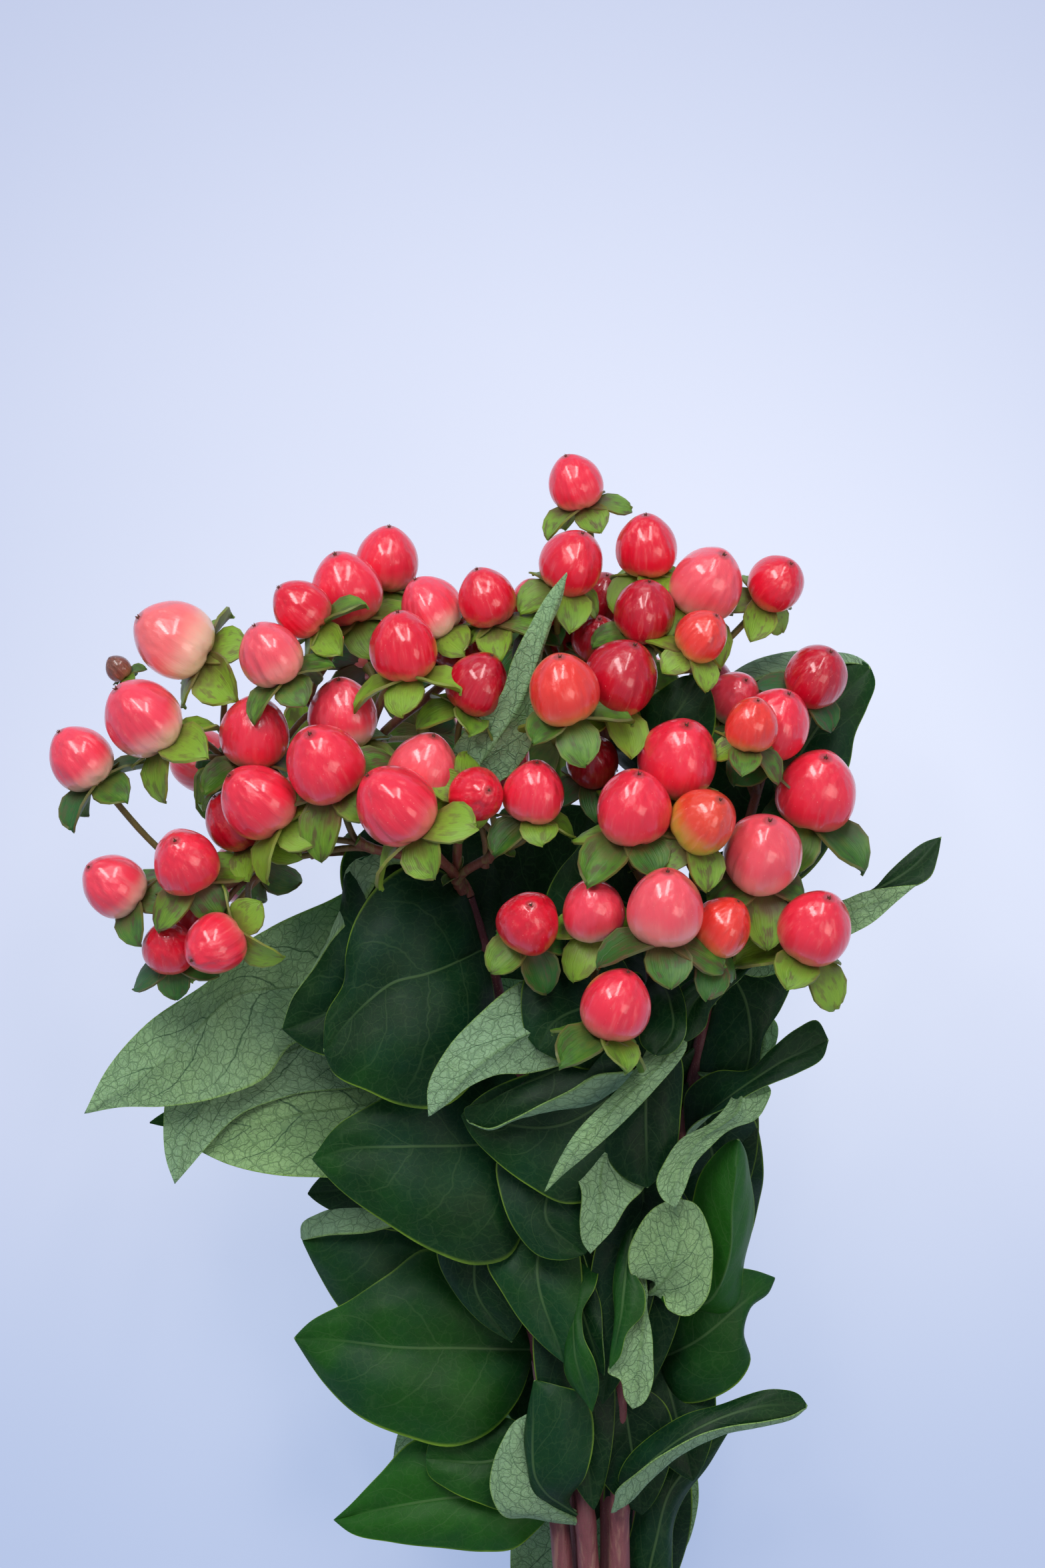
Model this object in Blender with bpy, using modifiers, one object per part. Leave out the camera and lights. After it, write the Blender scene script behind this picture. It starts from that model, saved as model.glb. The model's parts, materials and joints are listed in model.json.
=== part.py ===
"""A gathered bunch of hypericum stems in fruit, lying on its back.

The bunch lies along Y, with its berries towards +Y, its cut ends towards -Y and its front facing +Z.
The origin is on the surface that it rests on, under the middle of its box.
Each stem is one solid with its own leaves. Each spray is one solid with its stalks, sepals and berries.
Lengths in the tables are in millimetres.
"""

import math
from typing import NamedTuple

import bmesh
import bpy
from mathutils import Matrix, Vector

MM = 0.001
TOUCH_GAP = 0.3

CUT_Y = -200.0
STEM_RADIUS = 2.2
STEM_TIP_RADIUS = 1.6
STEM_STEPS = 10
STEM_RESOLUTION = 1

STALK_RADIUS = 1.2
PEDICEL_RADIUS = 0.65
STALK_STEPS = 2
LONG_PEDICEL = 14.0
NECK_LENGTH = 1.6
STALK_RESOLUTION = 0
STALK_TAPER = 0.9
STALK_RISE = (0.0, 0.3, 0.1)
FORK_SINK = 0.5
FIRST_STRAIGHT = 1.5
ROOT_SPACING = 1.7
HANDLE_SHARE = 0.36

BERRY_SEGMENTS = 7
BERRY_RINGS = (-0.5, 0.05, 0.6)
BERRY_LENGTH_RATIO = 1.08
BERRY_TAPER = 0.13
FACET_GROWTH = 1.06

SEPAL_COUNT = 5
SEPAL_LENGTHS = (0.86, 0.62, 0.8, 0.58, 0.7)
SEPAL_HALF_WIDTH = 0.26
SEPAL_BROADEST = 0.55
SEPAL_WAIST = 0.13
SEPAL_SEAT = 0.93
SEPAL_DROOP = math.radians(24)
SEPAL_DROOP_CHANGE = 0.5
SEPAL_THICKNESS = 0.8
SEPAL_WAVE = 2.3
LEAST_DEPTH_SQUARED = 0.02

LEAF_THICKNESS = 0.7
LEAF_ROWS = (0.0, 0.15, 0.4, 0.68, 0.88)
SMALL_LEAF_HALF_WIDTH = 9.0
SMALL_LEAF_ROWS = (0.0, 0.18, 0.46, 0.78)
LEAF_ROOT_HALF_WIDTH = 1.3
LEAF_BASE_POWER = 0.55
LEAF_TIP_POWER = 0.76

BAND_Y = -46.0
BAND_WIDTH = 5.0
BAND_THICKNESS = 1.3
BAND_CLEARANCE = 0.7
BAND_ARC_STEPS = 4
BAND_STEMS = (1, 6, 5, 2)

SHARP_EDGE = math.radians(50)

WOOD_BROWN = (0.22, 0.07, 0.06, 1.0)
BERRY_RED = (0.78, 0.06, 0.09, 1.0)
BAND_TAN = (0.62, 0.47, 0.28, 1.0)


class Leaf(NamedTuple):
    """One leaf: the height y or the fork that it leaves, its tip, and how it is turned and bent."""

    start: float
    tip: tuple
    half_width: float
    lift: float = 5.0
    roll: tuple = (0.0, 0.0)
    fold: float = 12.0


class Berry(NamedTuple):
    """One berry: its middle and width, how its tip leans in x and y, its fork, and the turn of its sepals."""

    middle: tuple
    across: float
    lean: tuple
    fork: int
    facing: int = 1
    turn: float = 0.0


class Spray(NamedTuple):
    """One spray: its forks, each with the number of the fork before it, its berries and its leaves."""

    forks: list
    berries: list
    leaves: list


# Each stem's course, from its cut end to its top.
STEMS = {
    1: [
        (10.6, CUT_Y + 2, 6.2), (13.2, BAND_Y, 20.6), (12, 5, 27.5),
        (4, 60, 35), (-10, 100, 41), (-21, 126, 46),
    ],
    2: [
        (13.2, CUT_Y + 6, 1.9), (15.6, BAND_Y, 16.4), (15, 5, 22),
        (10, 50, 28), (-4, 95, 36), (-14, 134, 44),
    ],
    3: [
        (15.8, CUT_Y, 6.6), (18, BAND_Y, 20.6), (16.5, 5, 30.5),
        (11, 60, 44), (2, 100, 54), (-4.5, 122, 60),
    ],
    4: [
        (18.6, CUT_Y + 3, 1.9), (20.4, BAND_Y, 16.4), (20.5, 5, 22.5),
        (19, 50, 29), (18, 95, 37), (17.5, 134, 46),
    ],
    5: [
        (25.6, CUT_Y + 8, 1.9), (25.3, BAND_Y, 16.6), (25.8, 5, 25),
        (30, 60, 38), (36.5, 98, 47), (39, 118, 54),
    ],
    6: [
        (21.8, CUT_Y + 1, 6.4), (22.8, BAND_Y, 20.8), (22, 5, 31),
        (23, 50, 44), (27.5, 90, 57), (27.5, 112, 66),
    ],
}

# Each stem's leaves. A leaf starts at its stem's point at the height y that start gives.
LEAVES = {
    1: [
        Leaf(113, (-72, 84, 50), 13.5, 8, (180, 180)),
        Leaf(101, (-56, 71.5, 44), 11, 6, (180, 175)),
        Leaf(89, (-53, 77, 41), 13, 5, (180, 180)),
        Leaf(74, (-33, 72.5, 30), 11, 2, (0, 0)),
        Leaf(62, (-34.5, 62, 26), 11, 1, (0, 0)),
        Leaf(42, (-35.5, 44, 33), 15.5, 7, (0, 0)),
        Leaf(30, (-8, 12, 31), 8, 4, (0, 0)),
        Leaf(16, (-28.5, 11.5, 24), 11, 5, (0, 0)),
    ],
    2: [
        Leaf(104, (-46, 112, 15), 13, -4, (180, 170)),
        Leaf(72, (-30, 56, 8), 13, -3, (180, 180)),
        Leaf(40, (-18, 22, 5), 11, -2, (170, 180)),
        Leaf(20, (8, -14, 8), 9, -3, (180, 180)),
    ],
    3: [
        Leaf(117, (-37, 99, 57), 14, 1, (0, -20)),
        Leaf(113, (-30, 95, 66), 18.5, 12, (0, 10)),
        Leaf(79, (-32, 76, 56), 17, 10, (0, 0)),
        Leaf(79, (-2, 44, 42), 6, 0, (0, 0)),
        Leaf(66, (12.6, 40, 50), 8.5, 8, (0, 0)),
        Leaf(12, (7.5, 37, 44), 8.5, 9, (180, 180), 25),
    ],
    4: [
        Leaf(112, (-8, 92, 18), 12, -3, (180, 180)),
        Leaf(90, (38, 70, 10), 13, -4, (180, 180)),
        Leaf(58, (6, 36, 6), 11, -4, (180, 180)),
        Leaf(34, (34, 6, 6), 10, -3, (180, 180)),
    ],
    5: [
        Leaf(110, (78, 132, 58), 8, 2, (60, 60)),
        Leaf(106, (52, 90, 45), 7, 2, (10, 10)),
        Leaf(100, (32.5, 67.4, 67), 5.5, 14, (175, 190)),
        Leaf(90, (62, 78, 20), 12, -2, (180, 180)),
        Leaf(74, (58.7, 96.5, 54), 9, 6, (35, 20), 22),
        Leaf(44, (35, 25, 38), 6, 4, (0, 0)),
        Leaf(50, (43, 80, 52), 8, 3, (50, 50)),
        Leaf(47, (49.3, 55, 40), 10, 4, (15, 0)),
        Leaf(28, (50, 14, 10), 10, -2, (180, 180)),
        Leaf(-4, (41.5, 27.5, 26), 7, 1, (0, 0)),
    ],
    6: [
        Leaf(108, (-11.5, 84, 77), 7, 6, (180, 180)),
        Leaf(106, (47, 112, 67), 7, 1, (20, 40)),
        Leaf(104, (8.7, 70.8, 74), 7, 10, (130, 130)),
        Leaf(101, (-4.7, 83, 66), 9, 6, (0, -20)),
        Leaf(97, (4, 100, 57), 8, 0, (0, 0)),
        Leaf(94, (4, 72, 58), 9, 3, (0, 0)),
        Leaf(90, (27, 68, 57), 6.5, 2, (0, 0)),
        Leaf(84, (16.7, 60, 55), 6.5, 3, (180, 180)),
        Leaf(80, (11, 59, 52), 8, 1, (0, 0)),
        Leaf(66, (22, 32.5, 50), 5, 3, (100, 190)),
        Leaf(49, (33, 70, 59), 8, 8, (180, 180)),
        Leaf(13, (55, 32.4, 42), 7, 8, (75, 65)),
    ],
}

SPRAYS = {
    1: Spray(
        forks=[(0, (-34, 131, 54)), (1, (-48, 124, 58)), (1, (-47, 147, 60)), (1, (-42, 134, 36))],
        berries=[
            Berry((-56.5, 167.5, 68), 13.4, (-0.80, 0.49), 3, turn=285),
            Berry((-61.5, 153.8, 72), 13.2, (-0.64, 0.68), 3, turn=105),
            Berry((-72.6, 146.7, 66), 11.0, (-0.60, 0.74), 2, turn=30),
            Berry((-66.9, 124.5, 66), 10.8, (-0.69, 0.51), 2, turn=270),
            Berry((-54.0, 128.7, 75), 11.4, (-0.26, 0.56), 2, turn=30),
            Berry((-57.0, 113.6, 66), 9.3, (-0.20, 0.60), 2, turn=0),
            Berry((-49.1, 113.7, 74), 10.5, (-0.66, -0.46), 2, turn=30),
            Berry((-52.0, 146.0, 34), 11.0, (-0.60, 0.40), 4, -1, turn=45),
            Berry((-45.0, 126.0, 20), 11.0, (-0.50, -0.40), 4, -1, turn=60),
        ],
        leaves=[],
    ),
    2: Spray(
        forks=[(0, (-22, 148, 54)), (1, (-33, 157, 60)), (1, (-18, 162, 60)), (1, (-7, 162, 58)),
               (1, (-22, 150, 34))],
        berries=[
            Berry((-39.1, 164.8, 78), 10.9, (-0.46, 0.81), 2, turn=240),
            Berry((-34.0, 172.8, 73), 9.8, (-0.70, 0.65), 2, turn=150),
            Berry((-41.8, 151.2, 71), 12.2, (-0.05, 0.90), 2, turn=240),
            Berry((-26.5, 154.5, 70), 12.0, (-0.10, 0.88), 2, turn=135),
            Berry((-26.1, 176.4, 65), 12.4, (-0.27, 0.86), 3, turn=30),
            Berry((-18.8, 181.5, 57), 11.0, (0.06, 0.94), 3, turn=30),
            Berry((-15.8, 166.1, 80), 11.7, (-0.16, 0.93), 3, turn=0),
            Berry((-11.3, 172.9, 71), 10.5, (-0.46, 0.84), 4, turn=315),
            Berry((-1.5, 174.6, 75), 10.0, (-0.30, 0.89), 4, turn=150),
            Berry((-34.0, 146.0, 6.05), 12.0, (-0.30, -0.20), 5, -1, turn=45),
            Berry((-24.0, 166.0, 28), 11.0, (-0.30, 0.60), 5, -1, turn=60),
            Berry((-12.0, 152.0, 12), 11.0, (0.10, 0.20), 5, -1, turn=30),
        ],
        leaves=[],
    ),
    3: Spray(
        forks=[(0, (-7, 126, 66)), (1, (-24, 132, 72)), (1, (-11, 131, 72)), (1, (1, 131, 72)),
               (1, (-6, 140, 72))],
        berries=[
            Berry((-29.8, 145.9, 84), 13.5, (-0.31, 0.66), 2, turn=45),
            Berry((-41.4, 139.3, 78), 12.7, (-0.70, 0.61), 2, turn=240),
            Berry((-45.4, 135.9, 69), 10.5, (-0.62, 0.70), 2, turn=120),
            Berry((-17.3, 138.6, 89), 13.6, (-0.65, 0.67), 3, turn=345),
            Berry((-12.2, 144.7, 78), 12.4, (0.25, 0.85), 3, turn=30),
            Berry((-2.9, 140.2, 86), 9.4, (0.40, 0.13), 4, turn=330),
            Berry((1.7, 146.4, 69), 9.3, (0.34, 0.64), 4, turn=240),
            Berry((7.0, 140.8, 83), 10.6, (0.08, 0.86), 4, turn=255),
            Berry((-2.7, 159.6, 78), 10.7, (0.40, 0.83), 4, turn=255),
        ],
        leaves=[Leaf(5, (12.6, 178.7, 84), 5.5, 7, (215, 225), 20)],
    ),
    4: Spray(
        forks=[(0, (19, 148, 56)), (1, (13, 160, 62)), (1, (24, 163, 62)), (1, (37, 163, 62)),
               (1, (20, 156, 34))],
        berries=[
            Berry((11.9, 158.7, 90), 12.1, (-0.09, 0.82), 2, turn=180),
            Berry((13.7, 180.7, 76), 11.0, (0.29, 0.83), 2, turn=75),
            Berry((14.0, 194.8, 66), 9.5, (-0.31, 0.87), 2, turn=30),
            Berry((26.6, 183.7, 70), 10.6, (-0.04, 0.92), 3, turn=255),
            Berry((26.2, 172.2, 76), 10.6, (0.14, 0.88), 3, turn=90),
            Berry((17.7, 167.5, 69), 8.3, (0.15, 0.72), 3, turn=105),
            Berry((22.2, 160.8, 81), 12.8, (0.33, 0.78), 3, turn=345),
            Berry((37.3, 177.3, 72), 12.5, (0.41, 0.69), 4, turn=165),
            Berry((49.4, 177.2, 68), 9.7, (0.46, 0.61), 4, turn=105),
            Berry((36.3, 167.9, 81), 8.9, (0.50, 0.69), 4, turn=0),
            Berry((8.0, 170.0, 30), 11.0, (-0.10, 0.60), 5, -1, turn=330),
            Berry((26.0, 160.0, 12), 11.0, (0.10, 0.30), 5, -1, turn=195),
            Berry((34.0, 172.0, 34), 11.0, (0.40, 0.50), 5, -1, turn=15),
        ],
        leaves=[Leaf(1, (35, 159, 74), 7, 2, (0, 0))],
    ),
    5: Spray(
        forks=[(0, (43, 130, 58)), (1, (47, 145, 62)), (1, (51, 127, 66)), (1, (44, 140, 36))],
        berries=[
            Berry((56.4, 161.0, 66), 10.8, (0.41, 0.70), 2, turn=90),
            Berry((42.0, 157.2, 66), 9.3, (0.39, 0.57), 2, turn=135),
            Berry((49.2, 152.7, 73), 12.2, (0.33, 0.76), 2, turn=0),
            Berry((44.8, 152.5, 83), 9.2, (0.20, 0.80), 2, turn=165),
            Berry((56.4, 141.2, 71), 13.9, (0.18, 0.72), 3, turn=150),
            Berry((56.1, 117.3, 77), 12.8, (0.31, 0.71), 3, turn=15),
            Berry((46.8, 130.2, 79), 13.7, (0.15, 0.74), 3, turn=330),
            Berry((54.0, 140.0, 30), 11.0, (0.60, 0.20), 4, -1, turn=90),
            Berry((44.0, 148.0, 6.15), 12.0, (0.30, 0.10), 4, -1, turn=45),
        ],
        leaves=[Leaf(1, (64, 163, 52), 15, -1, (10, 0))],
    ),
    6: Spray(
        forks=[(0, (28, 119, 72)), (1, (25, 127, 75)), (1, (35, 124, 75)), (1, (16, 112, 74))],
        berries=[
            Berry((32.2, 146.8, 80), 13.7, (0.17, 0.74), 2, turn=0),
            Berry((24.2, 138.2, 87), 12.9, (0.13, 0.80), 2, turn=60),
            Berry((17.2, 146.1, 71), 9.1, (0.10, 0.70), 2, turn=105),
            Berry((36.6, 135.8, 87), 11.2, (0.44, 0.57), 3, turn=0),
            Berry((39.9, 117.3, 81), 10.2, (0.47, 0.79), 1, turn=120),
            Berry((29.7, 120.8, 88), 13.3, (0.05, 0.85), 1, turn=30),
            Berry((17.2, 120.3, 83), 10.8, (0.02, 0.69), 4, turn=285),
            Berry((6.0, 118.1, 85), 10.8, (0.06, 0.50), 4, turn=120),
            Berry((21.2, 103.9, 88), 12.2, (0.31, 0.85), 4, turn=60),
        ],
        leaves=[Leaf(1, (13, 136, 71), 7, 0, (0, 0))],
    ),
}


def clear_scene():
    """Remove whatever the file holds."""
    for old in list(bpy.data.objects):
        bpy.data.objects.remove(old, do_unlink=True)


def collection_named(name):
    """Make a collection under the scene and return it."""
    group = bpy.data.collections.new(name)
    bpy.context.scene.collection.children.link(group)
    return group


def plain_material(name, colour, roughness):
    """Make a Principled material of one colour."""
    material = bpy.data.materials.new(name)
    material.use_nodes = True
    shader = material.node_tree.nodes["Principled BSDF"]
    shader.inputs["Base Color"].default_value = colour
    shader.inputs["Roughness"].default_value = roughness
    shader.inputs["Metallic"].default_value = 0.0
    return material


def smooth_course(points, steps):
    """Return steps + 1 points on a smooth curve through the given ones, spaced evenly in length."""
    knots = [Vector(point) for point in points]
    ends = [knots[0] * 2 - knots[1]] + knots + [knots[-1] * 2 - knots[-2]]
    fine = []
    for index in range(1, len(ends) - 2):
        before, here, there, after = ends[index - 1:index + 3]
        for share in (0.0, 0.25, 0.5, 0.75):
            fine.append(catmull(before, here, there, after, share))
    fine.append(knots[-1])
    return evenly_spaced(fine, steps)


def catmull(before, here, there, after, share):
    """Return a point between here and there on the smooth curve through all four."""
    square = share * share
    cube = square * share
    return 0.5 * ((2 * here) + (there - before) * share + (2 * before - 5 * here + 4 * there - after) * square
                  + (3 * here - before - 3 * there + after) * cube)


def evenly_spaced(points, steps):
    """Return steps + 1 points at even distances along a chain of points."""
    reach = [0.0]
    for first, second in zip(points, points[1:]):
        reach.append(reach[-1] + (second - first).length)
    result = []
    for step in range(steps + 1):
        wanted = reach[-1] * step / steps
        index = next(i for i in range(1, len(reach)) if reach[i] >= wanted - 1e-6)
        share = (wanted - reach[index - 1]) / (reach[index] - reach[index - 1])
        result.append(points[index - 1].lerp(points[index], share))
    return result


def bezier(start, handle_a, handle_b, end, steps):
    """Return steps + 1 points on a cubic Bezier curve."""
    result = []
    for step in range(steps + 1):
        t = step / steps
        s = 1 - t
        result.append(start * s ** 3 + handle_a * 3 * s * s * t + handle_b * 3 * s * t * t + end * t ** 3)
    return result


def tube(name, points, radius, end_radius, resolution):
    """Make a closed round tube along points, as a mesh object."""
    curve = bpy.data.curves.new(name, "CURVE")
    curve.dimensions = "3D"
    curve.bevel_depth = radius * MM
    curve.bevel_resolution = resolution
    curve.use_fill_caps = True
    spline = curve.splines.new("POLY")
    spline.points.add(len(points) - 1)
    for index, point in enumerate(points):
        spline.points[index].co = (*(point * MM), 1.0)
        spline.points[index].radius = 1 + (end_radius / radius - 1) * index / (len(points) - 1)
    guide = bpy.data.objects.new(name + "_curve", curve)
    bpy.context.scene.collection.objects.link(guide)
    bpy.context.view_layer.update()
    evaluated = guide.evaluated_get(bpy.context.evaluated_depsgraph_get())
    mesh = bpy.data.meshes.new_from_object(evaluated)
    bpy.data.objects.remove(guide, do_unlink=True)
    work = bmesh.new()
    work.from_mesh(mesh)
    bmesh.ops.remove_doubles(work, verts=work.verts, dist=0.00001)
    bmesh.ops.triangulate(work, faces=work.faces)
    bmesh.ops.recalc_face_normals(work, faces=work.faces)
    work.to_mesh(mesh)
    work.free()
    piece = bpy.data.objects.new(name, mesh)
    bpy.context.scene.collection.objects.link(piece)
    return piece


def object_from(work, name):
    """Turn a bmesh into an object in the scene."""
    mesh = bpy.data.meshes.new(name)
    work.to_mesh(mesh)
    work.free()
    piece = bpy.data.objects.new(name, mesh)
    bpy.context.scene.collection.objects.link(piece)
    return piece


def thickened(piece, thickness):
    """Give an open surface its thickness with Solidify and apply it."""
    wall = piece.modifiers.new("thickness", "SOLIDIFY")
    wall.thickness = thickness * MM
    wall.offset = 0.0
    return applied(piece)


def largest_shell(piece):
    """Keep an object's largest closed shell, which fills sealed hollows and drops loose scraps."""
    work = bmesh.new()
    work.from_mesh(piece.data)
    unseen = set(work.faces)
    shells = []
    while unseen:
        shell = {unseen.pop()}
        edge_of_shell = list(shell)
        while edge_of_shell:
            face = edge_of_shell.pop()
            for edge in face.edges:
                for other in edge.link_faces:
                    if other in unseen:
                        unseen.remove(other)
                        shell.add(other)
                        edge_of_shell.append(other)
        shells.append(shell)
    shells.sort(key=shell_volume, reverse=True)
    for shell in shells[1:]:
        verts = {vert for face in shell for vert in face.verts}
        bmesh.ops.delete(work, geom=list(verts), context="VERTS")
    work.to_mesh(piece.data)
    work.free()
    return piece


def shell_volume(shell):
    """Return the volume inside a closed shell of triangles, negative where it faces inwards."""
    total = 0.0
    for face in shell:
        corners = [vert.co for vert in face.verts]
        for second, third in zip(corners[1:], corners[2:]):
            total += corners[0].dot(second.cross(third))
    return total / 6


def applied(piece):
    """Replace an object's mesh by the mesh that its modifiers make."""
    bpy.context.view_layer.update()
    evaluated = piece.evaluated_get(bpy.context.evaluated_depsgraph_get())
    mesh = bpy.data.meshes.new_from_object(evaluated)
    piece.modifiers.clear()
    piece.data = mesh
    return piece


def leaf_width(share):
    """Return a leaf's half width at a share of its length, as a share of its largest half width."""
    widest = LEAF_BASE_POWER / (LEAF_BASE_POWER + LEAF_TIP_POWER)
    peak = widest ** LEAF_BASE_POWER * (1 - widest) ** LEAF_TIP_POWER
    return share ** LEAF_BASE_POWER * (1 - share) ** LEAF_TIP_POWER / peak


def leaf_piece(name, start, leaf):
    """Make one leaf from its starting point to its tip, folded a little along its midrib."""
    base = Vector(start)
    tip = Vector(leaf.tip)
    control = (base + tip) / 2 + Vector((0, 0, leaf.lift))
    work = bmesh.new()
    rows = []
    inner = LEAF_ROWS if leaf.half_width > SMALL_LEAF_HALF_WIDTH else SMALL_LEAF_ROWS
    for share in (*inner, 1.0):
        point = base.lerp(control, share).lerp(control.lerp(tip, share), share)
        along = (control - base).lerp(tip - control, share).normalized()
        up = Vector((0, 0, 1))
        up = (up - along * up.dot(along)).normalized()
        turn = leaf.roll[0] + (leaf.roll[1] - leaf.roll[0]) * share
        up = Matrix.Rotation(math.radians(turn), 3, along) @ up
        across = along.cross(up)
        if share == 1.0:
            rows.append([work.verts.new(point * MM)])
            continue
        half = max(leaf.half_width * leaf_width(share), LEAF_ROOT_HALF_WIDTH)
        rise = math.radians(leaf.fold)
        side = across * half * math.cos(rise)
        lift = up * half * math.sin(rise)
        places = (point - side + lift, point, point + side + lift)
        rows.append([work.verts.new(place * MM) for place in places])
    for low, high in zip(rows, rows[1:]):
        if len(high) == 1:
            work.faces.new((low[0], low[1], high[0]))
            work.faces.new((low[1], low[2], high[0]))
            continue
        work.faces.new((low[0], low[1], high[1], high[0]))
        work.faces.new((low[1], low[2], high[2], high[1]))
    bmesh.ops.triangulate(work, faces=work.faces)
    return thickened(object_from(work, name), LEAF_THICKNESS)


def berry_axis(berry):
    """Return the direction from a berry's base to its tip."""
    x, y = berry.lean
    depth = math.sqrt(max(LEAST_DEPTH_SQUARED, 1 - x * x - y * y))
    return Vector((x, y, depth * berry.facing)).normalized()


def berry_frame(berry):
    """Return the matrix that stands a piece made along Z on a berry's middle and axis."""
    turn = berry_axis(berry).to_track_quat("Z", "Y").to_matrix().to_4x4()
    return Matrix.Translation(Vector(berry.middle)) @ turn @ Matrix.Rotation(math.radians(berry.turn), 4, "Z")


def ring(work, frame, radius, height, count, phase=0.0):
    """Add a ring of vertices round a frame's Z axis."""
    result = []
    for number in range(count):
        angle = 2 * math.pi * (number + phase) / count
        place = frame @ Vector((radius * math.cos(angle), radius * math.sin(angle), height))
        result.append(work.verts.new(place * MM))
    return result


def joined(work, low, high):
    """Join two rings of vertices by faces, also where their counts differ."""
    if len(low) == len(high):
        for index, vert in enumerate(low):
            after = (index + 1) % len(low)
            work.faces.new((vert, low[after], high[after], high[index]))
        return
    edges = []
    for loop in (low, high):
        for index, vert in enumerate(loop):
            after = loop[(index + 1) % len(loop)]
            edges.append(work.edges.get((vert, after)) or work.edges.new((vert, after)))
    bmesh.ops.bridge_loops(work, edges=edges)


def fruit_piece(name, berry, start, leaving):
    """Make one fruit as a single skin: its pedicel, its five bent sepals and its berry."""
    work = bmesh.new()
    frame = berry_frame(berry)
    radius = berry.across / 2
    seat = -radius * BERRY_LENGTH_RATIO * SEPAL_SEAT
    upper = ring(work, frame, berry.across * SEPAL_WAIST, seat, SEPAL_COUNT, 0.5)
    lower = ring(work, frame, berry.across * SEPAL_WAIST, seat - SEPAL_THICKNESS, SEPAL_COUNT, 0.5)
    sepal_flaps(work, frame, berry, lower, upper)
    berry_skin(work, frame, radius, upper)
    pedicel_skin(work, frame, seat, lower, start, leaving)
    bmesh.ops.triangulate(work, faces=work.faces)
    bmesh.ops.recalc_face_normals(work, faces=work.faces)
    return object_from(work, name)


def sepal_flaps(work, frame, berry, lower, upper):
    """Add the sepals round the collar, bent back from the berry and of unlike lengths."""
    seat = -berry.across / 2 * BERRY_LENGTH_RATIO * SEPAL_SEAT
    for number, share in enumerate(SEPAL_LENGTHS):
        length = berry.across * share
        angle = 2 * math.pi * number / SEPAL_COUNT
        droop = SEPAL_DROOP * (1 + SEPAL_DROOP_CHANGE * math.sin(SEPAL_WAVE * number + berry.turn))
        middle = length * SEPAL_BROADEST
        swing = math.atan2(berry.across * SEPAL_HALF_WIDTH, middle)
        broad = middle / math.cos(swing) * math.cos(droop / 2)
        sunk = middle * math.sin(droop / 2)
        places = [(broad, angle - swing, sunk), (length * math.cos(droop), angle, length * math.sin(droop)),
                  (broad, angle + swing, sunk)]
        layers = []
        for thickness in (SEPAL_THICKNESS, 0.0):
            layer = []
            for reach, turn, drop in places:
                place = Vector((reach * math.cos(turn), reach * math.sin(turn), seat - drop - thickness))
                layer.append(work.verts.new((frame @ place) * MM))
            layers.append(layer)
        before = number - 1
        for collar, (left, point, right) in ((lower, layers[0]), (upper, layers[1])):
            work.faces.new((collar[before], left, right, collar[number]))
            work.faces.new((left, point, right))
        edge = [(lower[before], upper[before])] + list(zip(*layers)) + [(lower[number], upper[number])]
        for first, second in zip(edge, edge[1:]):
            work.faces.new((first[0], second[0], second[1], first[1]))


def berry_skin(work, frame, radius, collar):
    """Add the egg-shaped berry on its collar, widest below its middle."""
    last = collar
    for height in BERRY_RINGS:
        width = radius * math.sqrt(1 - height * height) * (1 - BERRY_TAPER * height) * FACET_GROWTH
        circle = ring(work, frame, width, radius * BERRY_LENGTH_RATIO * height, BERRY_SEGMENTS)
        joined(work, last, circle)
        last = circle
    top = work.verts.new((frame @ Vector((0, 0, radius * BERRY_LENGTH_RATIO))) * MM)
    for number, vert in enumerate(last):
        work.faces.new((vert, last[(number + 1) % len(last)], top))


def pedicel_skin(work, frame, seat, collar, start, leaving):
    """Add the pedicel from a berry's collar down to its fork."""
    axis = (frame.to_3x3() @ Vector((0, 0, 1))).normalized()
    side = (frame.to_3x3() @ Vector((1, 0, 0))).normalized()
    neck = frame @ Vector((0, 0, seat - NECK_LENGTH))
    pull = (neck - start).length * HANDLE_SHARE
    steps = 2 if (neck - start).length > LONG_PEDICEL else 1
    points = bezier(neck, neck - axis * pull, start + leaving * pull, start, steps)
    last = collar
    for number, point in enumerate(points):
        ahead = points[min(number + 1, steps)]
        behind = points[max(number - 1, 0)]
        along = axis if number == 0 else (behind - ahead).normalized()
        side = (side - along * side.dot(along)).normalized()
        place = Matrix((side, along.cross(side), along)).transposed().to_4x4()
        place.translation = point
        circle = ring(work, place, PEDICEL_RADIUS, 0.0, SEPAL_COUNT, 0.5)
        joined(work, last, circle)
        last = circle
    work.faces.new(last)


def stalk_path(start, leaving, end, arriving, straight):
    """Return the points of a stalk that leaves one point, straight for a short way, and reaches another."""
    bend = start + leaving * straight
    pull = (end - bend).length * HANDLE_SHARE
    points = bezier(bend, bend + leaving * pull, end - arriving * pull, end, STALK_STEPS)
    return [start] + points if straight else points


def next_root(paths, used, fork):
    """Return where the next stalk leaves a fork: each one leaves a little before the last."""
    path = paths[fork]
    back = ROOT_SPACING * used[fork]
    used[fork] += 1
    if len(path) == 1:
        return path[0]
    return path[-1] + (path[-2] - path[-1]).normalized() * back


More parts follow.
